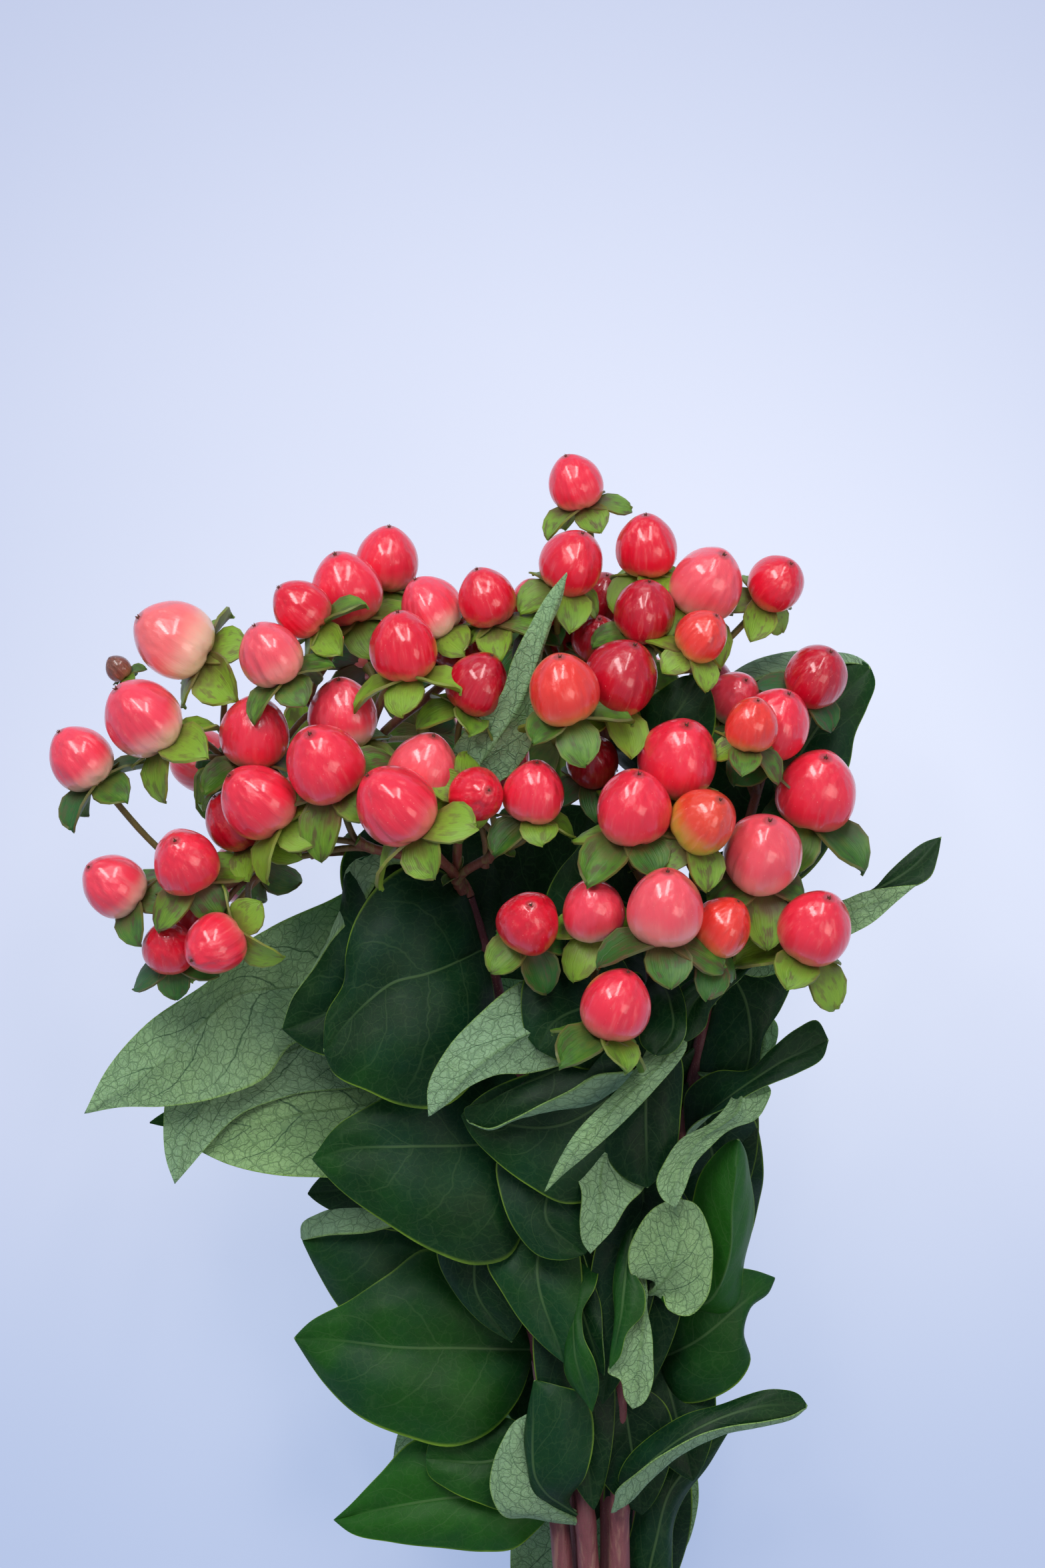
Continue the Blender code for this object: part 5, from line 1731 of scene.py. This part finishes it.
class Scatter(Recipe):
    """Sets copies of a few small shapes on marked points."""

    def __init__(self) -> None:
        """Build the tree."""
        inputs = {"Shapes": "NodeSocketCollection", "Finish": "NodeSocketMaterial"}
        super().__init__("shapes_scattered", inputs)
        graph = self.graph
        shapes = graph.node("GeometryNodeCollectionInfo", None, {
            "Collection": self.input("Shapes"), "Separate Children": True, "Reset Children": True,
        })
        turn, size, kind = (
            graph.node("GeometryNodeInputNamedAttribute", {"data_type": data_type}, {"Name": name})
            for name, data_type in (("turn", "FLOAT_VECTOR"), ("size", "FLOAT_VECTOR"), ("kind", "INT")))
        facing = graph.node("FunctionNodeEulerToRotation", None, {"Euler": turn})
        placed = graph.node("GeometryNodeInstanceOnPoints", None, {
            "Points": self.input("Geometry"), "Instance": shapes, "Pick Instance": True,
            "Instance Index": kind, "Rotation": facing, "Scale": size,
        })
        self.close(placed)

    def make(self, name: str, marks: list[Mark], shapes: bpy.types.Collection,
             finish: Finish) -> bpy.types.Object:
        """Set shapes on marks and return them as one mesh object.

        Args:
            name: The object's name.
            marks: Where and how each copy stands.
            shapes: The shapes to copy, in the order of their names.
            finish: The finish.

        Returns:
            The object.
        """
        mesh = bpy.data.meshes.new(name)
        mesh.from_pydata([mark.place * MM for mark in marks], [], [])
        store(mesh, "turn", "FLOAT_VECTOR", np.array([list(mark.turn) for mark in marks]))
        store(mesh, "size", "FLOAT_VECTOR", np.array([list(mark.size) for mark in marks]) * MM)
        store(mesh, "kind", "INT", np.array([mark.kind for mark in marks]))
        for label, first in marks[0].values.items():
            kind = "FLOAT" if isinstance(first, float) else "FLOAT_VECTOR"
            store(mesh, label, kind, np.array([mark.values[label] for mark in marks]))
        return self.run(object_of(mesh, name), {"Shapes": shapes, "Finish": finish.material()})


def gathered(name: str, meshes: list[bpy.types.Mesh]) -> bpy.types.Collection:
    """Return a collection with one object for each mesh, named so that they keep their order.

    Args:
        name: The name of the collection, and the start of each object's name.
        meshes: The meshes.

    Returns:
        The collection.
    """
    group = bpy.data.collections.new(name)
    for number, mesh in enumerate(meshes):
        group.objects.link(bpy.data.objects.new(f"{name}_{number}", mesh))
    return group


class BerryShapes:
    """The unit shapes of a berry: an egg along Z with three lobes and the dry rest of its styles."""

    segments = 42
    rings = 26
    lobes = 3
    style_sides = 8
    style_radii = (0.024, 0.01)
    collar = (Vector((0.0, 0.0, 0.91)), Vector((0.0, 0.0, 0.985)), 0.062, 0.036)
    foot_height = -0.985
    head_height = 0.955
    foot_share = 0.45
    crown_power = 1.16
    furrow_width = 0.16
    furrow_depth = 0.012
    dip_depth = 0.035
    dip_width = 0.12
    moods = ((0.03, 0.09, 0.8), (0.042, 0.14, 0.84), (0.022, 0.06, 0.88))

    def build(self) -> bpy.types.Collection:
        """Return a collection with a few berries of slightly unlike shapes."""
        return gathered("berry_shape", [self.shape(*mood) for mood in self.moods])

    def shape(self, lobe: float, cleft: float, shoulder: float) -> bpy.types.Mesh:
        """Return one berry of unit radius.

        Args:
            lobe: How far its three lobes stand out.
            cleft: How deep the furrows between them are at its base.
            shoulder: How broad its base is: smaller is broader.

        Returns:
            The mesh.
        """
        points = [(0.0, 0.0, self.foot_height)]
        for ring in range(1, self.rings):
            tilt = math.pi * (ring / self.rings - 0.5)
            high = math.sin(tilt)
            low = max(0.0, -high - self.foot_share) / (1 - self.foot_share)
            power = shoulder
            if high > 0:
                power += (self.crown_power - shoulder) * min(1.0, high * 1.6)
            radius = math.cos(tilt) ** power * (1 - BERRY_TAPER * high)
            for segment in range(self.segments):
                angle = 2 * math.pi * segment / self.segments
                wave = math.cos(self.lobes * angle)
                furrow = math.exp(-((1 + wave) / self.furrow_width) ** 2)
                ridge = 0.35 * lobe * math.cos(2 * self.lobes * angle + 0.6) * math.cos(tilt) ** 0.5
                groove = furrow * (cleft * low ** 1.5 + self.furrow_depth)
                out = radius * (1 + lobe * wave + ridge - groove)
                dip = self.dip_depth * math.exp(-(radius / self.dip_width) ** 2)
                rise = cleft * 0.5 * low ** 2 * (furrow - 0.3 * wave)
                points.append((out * math.cos(angle), out * math.sin(angle), high - dip + rise))
        points.append((0.0, 0.0, self.head_height))
        faces = self.ball_faces()
        skin = len(points)
        self.add_styles(points, faces)
        mesh = bpy.data.meshes.new("berry_shape")
        mesh.from_pydata(points, [], faces)
        mesh.shade_smooth()
        store(mesh, "rest", "FLOAT_VECTOR", np.array(points))
        store(mesh, "nub", "FLOAT", np.array([0.0] * skin + [1.0] * (len(points) - skin)))
        return mesh

    def ball_faces(self) -> list[tuple[int, ...]]:
        """Return the faces of the egg's rings and of its two closed ends.

        Returns:
            The point numbers of each face.
        """
        faces = []
        last = 1 + (self.rings - 2) * self.segments
        for segment in range(self.segments):
            after = (segment + 1) % self.segments
            faces.append((0, 1 + after, 1 + segment))
            faces.append((last + segment, last + after, last + self.segments))
            for ring in range(self.rings - 2):
                low = 1 + ring * self.segments
                high = low + self.segments
                faces.append((low + segment, low + after, high + after, high + segment))
        return faces

    def add_styles(self, points: list[Point], faces: list[tuple[int, ...]]) -> None:
        """Add the scar's collar and three short dry styles at the tip, each a closed cone.

        Args:
            points: The berry's points, which theirs are added to.
            faces: The berry's faces, which theirs are added to.
        """
        self.add_cone(points, faces, self.collar)
        for number in range(self.lobes):
            angle = 2 * math.pi * number / self.lobes
            lean = Vector((math.cos(angle), math.sin(angle), 0))
            foot = lean * 0.02 + Vector((0, 0, 0.95))
            head = lean * 0.06 + Vector((0, 0, 1.04))
            self.add_cone(points, faces, (foot, head, *self.style_radii))

    def add_cone(self, points: list[Point], faces: list[tuple[int, ...]],
                 cone: tuple[Vector, Vector, float, float]) -> None:
        """Add a closed cone with a blunt end.

        Args:
            points: The berry's points, which the cone's are added to.
            faces: The berry's faces, which the cone's are added to.
            cone: The middle of its foot, the middle of its head and the radius of each.
        """
        foot, head, wide, narrow = cone
        first = len(points)
        sides = self.style_sides
        turn = (head - foot).normalized().to_track_quat("Z", "Y").to_matrix()
        for centre, radius in ((foot, wide), (head, narrow)):
            for side in range(sides):
                angle = 2 * math.pi * side / sides
                spoke = Vector((math.cos(angle), math.sin(angle), 0)) * radius
                points.append(tuple(centre + turn @ spoke))
        for side in range(sides):
            after = (side + 1) % sides
            faces.append((first + side, first + after, first + sides + after, first + sides + side))
        faces.append(tuple(first + side for side in reversed(range(sides))))
        faces.append(tuple(first + sides + side for side in range(sides)))


class SepalShapes:
    """The unit shapes of a sepal, from the middle of the flower along X, of length 1 and half width 0.5."""

    rows = 7
    side_columns = 2
    half_thickness = 0.022
    half_width = 0.5
    base_power = 0.75
    tip_power = 0.62
    root_half_width = 0.14
    tip_half_width = 0.012
    ripple = 0.02
    groove_depth = 0.02
    groove_width = 0.06
    moods = ((0.10, 0.10, 0.0), (0.16, 0.05, 0.05), (0.05, 0.16, -0.05), (0.13, -0.04, 0.08))

    def build(self) -> bpy.types.Collection:
        """Return a collection with sepals bent and cupped in unlike ways."""
        return gathered("sepal_shape", [self.shape(*mood) for mood in self.moods])

    def shape(self, arch: float, cup: float, twist: float) -> bpy.types.Mesh:
        """Return one sepal.

        Args:
            arch: How far its middle is above the line from its base to its tip.
            cup: How far its margins rise.
            twist: How unlike its two margins are.

        Returns:
            The mesh.
        """
        s = np.sin(np.linspace(0, np.pi / 2, self.rows))[:, None]
        u = np.linspace(-1, 1, 2 * self.side_columns + 1)[None, :]
        half = self.half_width * width_share(s, self.base_power, self.tip_power)
        half = np.maximum(half, self.root_half_width * (1 - s) + self.tip_half_width)
        wide = half * u
        high = arch * 4 * s * (1 - s) + cup * u ** 2 * width_share(s, self.base_power, 0.5) + twist * u * s
        high = high + self.ripple * np.sin(9 * s + 2 * u) * u ** 2
        high = high - self.groove_depth * np.exp(-(wide / self.groove_width) ** 2)
        middle = np.dstack([np.broadcast_to(s, wide.shape), wide, high])[:, ::-1]
        thick = np.full(wide.shape, self.half_thickness)
        blade = np.dstack([np.broadcast_to(u, wide.shape), np.broadcast_to(s, wide.shape)])[:, ::-1]
        lamina = Lamina()
        lamina.add(middle, thick, thick, blade, np.zeros((*wide.shape, 3)), 0.0)
        mesh = lamina.mesh("sepal_shape", 1.0)
        mesh.attributes.remove(mesh.attributes["tone"])
        return mesh


@dataclass
class LeafyStem:
    """One stem: its bark with a joint at each pair of leaves, and its leaves."""

    number: int
    sweep: Sweep
    leaf_maker: LeafMaker
    bark: BarkFinish = BarkFinish()
    joint_swell: float = 0.1
    slimming: float = 0.34
    slimming_start: float = 0.38
    slimming_rate: float = 6.0
    joint_reach: float = 1.1
    joint_spacing: float = 31.0
    sides: int = 20
    ridge: float = 0.12

    def joints(self, course: list[Vector]) -> list[float]:
        """Return where the stem's joints are: at its leaves and at even steps below them.

        Args:
            course: The stem's middle line.

        Returns:
            Their heights y.
        """
        heights = [leaf.start for leaf in LEAVES[self.number]]
        heights += [leaf.rib[0][1] for leaf in SHAPED_LEAVES.get(self.number, [])]
        height = min(heights) - self.joint_spacing
        while height > course[0].y + self.joint_spacing / 2:
            heights.append(height)
            height -= self.joint_spacing
        return heights

    def build(self) -> None:
        """Make the stem's pieces."""
        course = stem_course(self.number)
        joints = self.joints(course)
        along = [step / (len(course) - 1) for step in range(len(course))]
        radii = []
        for share, point in zip(along, course):
            swell = max(math.exp(-(((point.y - joint) / self.joint_reach) ** 2)) for joint in joints)
            radius = STEM_RADIUS + (STEM_TIP_RADIUS - STEM_RADIUS) * share
            slim = min(1.0, max(0.0, (share - self.slimming_start) * self.slimming_rate))
            radii.append(radius * (1 - self.slimming * slim) * (1 + self.joint_swell * swell))
        strand = Strand(course, radii, along)
        stem = self.sweep.make(f"stem_bark_{self.number}", [strand], self.bark, self.sides, self.ridge)
        finished(stem, "bark", f"leafy_stem_{self.number}")
        lamina = Lamina()
        for index, leaf in enumerate(LEAVES[self.number]):
            start = point_at(course, leaf.start)
            self.leaf_maker.add(lamina, leaf, start, self.number * STEM_SEEDS + index)
        for index, leaf in enumerate(SHAPED_LEAVES.get(self.number, [])):
            self.leaf_maker.shape(lamina, leaf, self.number * STEM_SEEDS + SHAPED_SEEDS + index)
        leaves = leaf_piece(f"stem_leaves_{self.number}", lamina)
        finished(leaves, "leaf", f"leafy_stem_{self.number}")


@dataclass
class BerrySpray:
    """One forked spray: its stalks, its sepals, its berries and its few small leaves."""

    number: int
    sweep: Sweep
    scatter: Scatter
    berry_shapes: bpy.types.Collection
    sepal_shapes: bpy.types.Collection
    leaf_maker: LeafMaker
    stalk_bark: BarkFinish = BarkFinish(
        "stalk_bark", paint(112, 104, 52), paint(118, 62, 46), paint(118, 116, 60))
    stalk_radius: float = 0.85
    pedicel_radius: float = 0.58
    stalk_end_swell: float = 0.35
    stalk_along: float = 0.25
    receptacle: float = 0.13
    receptacle_steps: tuple[float, ...] = (1.0, 0.82, 0.55)
    seat_sink: float = 0.3
    foot_swell: float = 1.3
    steps: int = 12
    sides: int = 10
    ridge: float = 0.1

    def build(self) -> None:
        """Make the spray's pieces."""
        spray = SPRAYS[self.number]
        strands, paths, headings = self.branches(spray)
        stalks = self.sweep.make(
            f"spray_stalks_{self.number}", strands, self.stalk_bark, self.sides, self.ridge)
        sepal_marks = [mark for fruit in spray.fruits for mark in self.sepal_marks(fruit)]
        sepal_marks += self.bract_marks(paths, headings)
        sepals = self.scatter.make(
            f"spray_sepals_{self.number}", sepal_marks, self.sepal_shapes, SepalFinish())
        berry_marks = [self.berry_mark(fruit, index) for index, fruit in enumerate(spray.fruits)]
        berries = self.scatter.make(
            f"spray_berries_{self.number}", berry_marks, self.berry_shapes, BerryFinish())
        pieces = [(stalks, "bark"), (sepals, "sepal"), (berries, "berry")]
        if spray.leaves:
            lamina = Lamina()
            for index, leaf in enumerate(spray.leaves):
                self.leaf_maker.shape(lamina, leaf, self.number * SPRAY_SEEDS + index)
            pieces.append((leaf_piece(f"spray_leaf_{self.number}", lamina), "leaf"))
        for piece, slot in pieces:
            finished(piece, slot, f"berry_spray_{self.number}")

    def branches(self, spray: Spray) -> tuple[list[Strand], list[list[Vector]], list[Vector]]:
        """Grow the spray's stalks from the top of its stem.

        Args:
            spray: The spray.

        Returns:
            The strands of all stalks, and the points and the end's direction of each stalk to a fork.
        """
        course = stem_course(self.number)
        onward = (course[-1] - course[-2]).normalized()
        paths = [[course[-1] + onward * TOUCH_GAP]]
        headings = [onward]
        used = [0]
        strands = []
        for parent, point in spray.forks:
            end = Vector(point)
            start = self.root(paths, used, parent)
            arriving = ((end - start).normalized() + Vector(STALK_RISE)).normalized()
            path = self.stalk(start, headings[parent], end, arriving, 0.0 if parent else FIRST_STRAIGHT)
            strands.append(self.stalk_strand(path))
            paths.append(path)
            headings.append(arriving)
            used.append(0)
        for fruit in spray.fruits:
            start = self.root(paths, used, fruit.fork)
            foot = Vector(fruit.middle) - fruit.axis() * fruit.across / 2
            leaving = ((foot - start).normalized() + headings[fruit.fork]).normalized()
            strands.append(self.pedicel_strand(fruit, start - leaving * FORK_SINK, leaving))
        return strands, paths[1:], headings[1:]

    def root(self, paths: list[list[Vector]], used: list[int], fork: int) -> Vector:
        """Return where the next stalk leaves a fork: each one leaves a little before the last.

        Args:
            paths: The stalks' points, by fork.
            used: How many stalks have left each fork, which this adds to.
            fork: The fork's number.

        Returns:
            The place.
        """
        path = paths[fork]
        back = ROOT_SPACING * used[fork]
        used[fork] += 1
        if len(path) == 1:
            return path[0]
        return path[-1] + (path[-2] - path[-1]).normalized() * back

    def stalk(self, start: Vector, leaving: Vector, end: Vector, arriving: Vector,
              straight: float) -> list[Vector]:
        """Return the points of a stalk.

        Args:
            start: Where it starts.
            leaving: Its direction there.
            end: Where it ends.
            arriving: Its direction there.
            straight: How far it is straight at its start.

        Returns:
            The points.
        """
        bend = start + leaving * straight
        pull = (end - bend).length * HANDLE_SHARE
        points = bezier(bend, bend + leaving * pull, end - arriving * pull, end, self.steps)
        return [start] + points if straight else points

    def stalk_strand(self, path: list[Vector]) -> Strand:
        """Return a stalk that swells at both ends.

        Args:
            path: Its points.

        Returns:
            The strand.
        """
        radii = []
        for step in range(len(path)):
            from_middle = abs(2 * step / (len(path) - 1) - 1)
            radii.append(self.stalk_radius * (1 + self.stalk_end_swell * from_middle ** 6))
        return Strand(path, radii, [self.stalk_along] * len(path))

    def pedicel_strand(self, fruit: Fruit, start: Vector, leaving: Vector) -> Strand:
        """Return the stalk of one berry, which widens under its sepals.

        Args:
            fruit: The berry.
            start: Where the stalk leaves its fork.
            leaving: Its direction there.

        Returns:
            The strand, from the berry down.
        """
        stand = fruit.stand()
        axis = fruit.axis()
        seat = stand @ Vector((0, 0, fruit.seat() + self.seat_sink))
        neck = stand @ Vector((0, 0, fruit.seat() - NECK_LENGTH))
        pull = (neck - start).length * HANDLE_SHARE
        points = [seat, seat.lerp(neck, 0.5)]
        points += bezier(neck, neck - axis * pull, start + leaving * pull, start, self.steps)
        radii = [fruit.across * self.receptacle * share for share in self.receptacle_steps]
        radii += [self.pedicel_radius] * self.steps
        radii[-1] = self.pedicel_radius * self.foot_swell
        fall = 1.0 - self.stalk_along
        along = [1.0] * len(self.receptacle_steps)
        along += [1.0 - fall * step / self.steps for step in range(self.steps)]
        return Strand(points, radii, along)

    def sepal_marks(self, fruit: Fruit) -> list[Mark]:
        """Return the five sepals under a berry, of unlike lengths, bent back from it.

        Args:
            fruit: The berry.

        Returns:
            Their marks.
        """
        luck = random.Random(round(fruit.middle[0] * 10) * 7 + round(fruit.middle[1] * 10))
        stand = fruit.stand()
        marks = []
        shade = luck.uniform(*SEPAL_SHADES)
        mood = luck.uniform(*SEPAL_TONES)
        for number, share in enumerate(SEPAL_LENGTHS):
            droop = SEPAL_DROOP * (1 + SEPAL_DROOP_CHANGE * math.sin(SEPAL_WAVE * number + fruit.turn))
            swing = 2 * math.pi * number / len(SEPAL_LENGTHS)
            turn = stand.to_3x3() @ Matrix.Rotation(swing, 3, "Z") @ Matrix.Rotation(droop, 3, "Y")
            length = fruit.across * share
            size = Vector((length, fruit.across * SEPAL_HALF_WIDTH * 2, length))
            tone = mood + luck.uniform(-SEPAL_TONE_CHANGE, SEPAL_TONE_CHANGE)
            values = {"tone": min(1.0, max(0.0, tone)), "shade": shade}
            kind = luck.randrange(len(SepalShapes.moods))
            marks.append(Mark(stand @ Vector((0, 0, fruit.seat())), turn.to_euler(), size, kind, values))
        return marks

    def bract_marks(self, paths: list[list[Vector]], headings: list[Vector]) -> list[Mark]:
        """Return a pair of small bracts at each fork.

        Args:
            paths: The points of each stalk to a fork.
            headings: The direction of each one's end.

        Returns:
            Their marks.
        """
        luck = random.Random(self.number)
        marks = []
        for path, heading in zip(paths, headings):
            turn = heading.to_track_quat("Z", "Y").to_matrix()
            swing = luck.uniform(0, math.pi)
            for side in (0.0, math.pi):
                facing = turn @ Matrix.Rotation(swing + side, 3, "Z") @ Matrix.Rotation(BRACT_RISE, 3, "Y")
                length = luck.uniform(*BRACT_LENGTHS)
                kind = luck.randrange(len(SepalShapes.moods))
                values = {"tone": luck.uniform(*BRACT_TONES), "shade": luck.uniform(*BRACT_SHADES)}
                marks.append(Mark(path[-1] - heading * BRACT_SINK, facing.to_euler(),
                                  Vector((length, BRACT_WIDTH, length)), kind, values))
        return marks

    def berry_mark(self, fruit: Fruit, index: int) -> Mark:
        """Return one berry, with its colours.

        Args:
            fruit: The berry.
            index: Its number in the spray.

        Returns:
            Its mark.
        """
        radius = fruit.across / 2
        size = Vector((radius, radius, radius * BERRY_LENGTH_RATIO))
        values = {
            "skin": fruit.ripeness.skin[:3], "heel": fruit.ripeness.heel[:3],
            "reach": fruit.ripeness.reach, "seed": float(index * 3 + self.number * 11),
        }
        kind = index % len(BerryShapes.moods)
        return Mark(Vector(fruit.middle), fruit.stand().to_euler(), size, kind, values)


@dataclass
class StemBand:
    """The rubber band that ties the stems: three turns side by side."""

    sweep: Sweep
    finish: BandFinish = BandFinish()
    strand_radius: float = 0.72
    reach: float = STEM_RADIUS + 1.35
    turns: tuple[float, ...] = (-1.55, 0.0, 1.55)
    wander: float = 0.12
    arc_steps: int = 10
    sides: int = 12
    ridge: float = 0.05

    def outline(self) -> list[Vector]:
        """Return the line round the outer stems.

        Returns:
            Its points, as places in X and Z.
        """
        corners = []
        for number in BAND_STEMS:
            corner = point_at(stem_course(number), BAND_Y)
            corners.append(Vector((corner.x, 0, corner.z)))
        middle = sum(corners, Vector()) / len(corners)
        line = []
        for index, corner in enumerate(corners):
            following = corners[(index + 1) % len(corners)]
            arriving = self.outward(corner - corners[index - 1], corner - middle)
            leaving = self.outward(following - corner, corner - middle)
            for step in range(self.arc_steps):
                facing = arriving.lerp(leaving, step / (self.arc_steps - 1)).normalized()
                line.append(corner + facing * self.reach)
        return line

    def outward(self, side: Vector, away: Vector) -> Vector:
        """Return the direction square to a side in the XZ plane that points the same way as away."""
        square = Vector((side.z, 0, -side.x)).normalized()
        return square if square.dot(away) > 0 else -square

    def build(self) -> None:
        """Make the band."""
        strands = []
        for number, shift in enumerate(self.turns):
            points = []
            for step, point in enumerate(self.outline()):
                along = BAND_Y + shift + self.wander * math.sin(number * 2 + step * 0.4)
                points.append(Vector((point.x, along, point.z)))
            strands.append(Strand(points, [self.strand_radius] * len(points), [0.0] * len(points)))
        band = self.sweep.make("tie_band", strands, self.finish, self.sides, self.ridge, closed=True)
        finished(band, "band", "stem_band")


@dataclass(frozen=True)
class Softbox:
    """A soft light: its direction from the berries, its width and height in metres, watts and colour."""

    name: str
    towards: Point
    size: tuple[float, float]
    power: float
    colour: Colour


@dataclass
class Studio:
    """The floor, the lights and the camera, which looks straight down on the lying bunch."""

    view_centre: Point = (4.9, 141.9, 70.0)
    view_height: float = 273.5
    lens: float = 400.0
    sensor: float = 36.0
    clip_end: float = 50.0
    floor_half: float = 12.0
    sky: Colour = paint(216, 224, 246)
    sky_strength: float = 0.42
    light_distance: float = 1.1
    lights: tuple[Softbox, ...] = (
        Softbox("left_key_light", (-0.36, 0.55, 0.80), (0.17, 0.75), 5.6, paint(255, 253, 252)),
        Softbox("right_key_light", (0.14, 0.62, 0.80), (0.15, 0.75), 4.2, paint(255, 253, 252)),
        Softbox("side_light", (0.55, -0.25, 0.80), (0.4, 0.5), 2.2, paint(255, 236, 224)),
    )

    def build(self) -> None:
        """Set up the studio."""
        self.floor()
        self.world()
        for softbox in self.lights:
            self.hang(softbox)
        self.camera()

    def floor(self) -> None:
        """Lay the floor that the bunch rests on."""
        mesh = bpy.data.meshes.new("floor")
        half = self.floor_half
        square = [(-half, -half, 0), (half, -half, 0), (half, half, 0), (-half, half, 0)]
        mesh.from_pydata(square, [], [(0, 1, 2, 3)])
        mesh.materials.append(FloorFinish().material())
        object_of(mesh, "floor")

    def world(self) -> None:
        """Give the room an even pale light."""
        world = bpy.data.worlds.new("studio")
        world.use_nodes = True
        back = world.node_tree.nodes["Background"]
        back.inputs["Color"].default_value = self.sky
        back.inputs["Strength"].default_value = self.sky_strength
        bpy.context.scene.world = world
        bpy.context.scene.view_settings.view_transform = "Standard"

    def hang(self, softbox: Softbox) -> None:
        """Hang a soft light that the camera doesn't see.

        Args:
            softbox: The light.
        """
        light = bpy.data.lights.new(softbox.name, "AREA")
        light.shape = "RECTANGLE"
        light.size, light.size_y = softbox.size
        light.energy = softbox.power
        light.color = softbox.colour[:3]
        lamp = bpy.data.objects.new(softbox.name, light)
        away = Vector(softbox.towards).normalized()
        lamp.location = Vector(self.view_centre) * MM + away * self.light_distance
        lamp.rotation_euler = away.to_track_quat("Z", "Y").to_euler()
        lamp.visible_camera = False
        bpy.context.scene.collection.objects.link(lamp)

    def camera(self) -> None:
        """Place the camera over the bunch, with the picture's top towards +Y."""
        lens = bpy.data.cameras.new("view")
        lens.lens = self.lens
        lens.sensor_width = self.sensor
        lens.clip_end = self.clip_end
        eye = bpy.data.objects.new("view", lens)
        above = Vector((0, 0, self.view_height * self.lens / self.sensor))
        eye.location = (Vector(self.view_centre) + above) * MM
        bpy.context.scene.collection.objects.link(eye)
        bpy.context.scene.camera = eye


def corners(box: tuple[Vector, Vector]) -> list[list[float]]:
    """Return a box's two corners as plain lists."""
    return [list(corner) for corner in box]


def main() -> None:
    """Build the studio and every piece of the bunch."""
    logging.basicConfig(level=logging.INFO, format="%(name)s: %(message)s")
    sweep = Sweep()
    scatter = Scatter()
    leaf_maker = LeafMaker()
    berry_shapes = BerryShapes().build()
    sepal_shapes = SepalShapes().build()
    Studio().build()
    for number in STEMS:
        LeafyStem(number, sweep, leaf_maker).build()
        BerrySpray(number, sweep, scatter, berry_shapes, sepal_shapes, leaf_maker).build()
    StemBand(sweep).build()
    for group in (berry_shapes, sepal_shapes):
        for shape in list(group.objects):
            bpy.data.objects.remove(shape, do_unlink=True)
        bpy.data.collections.remove(group)


if __name__ == "__main__":
    main()
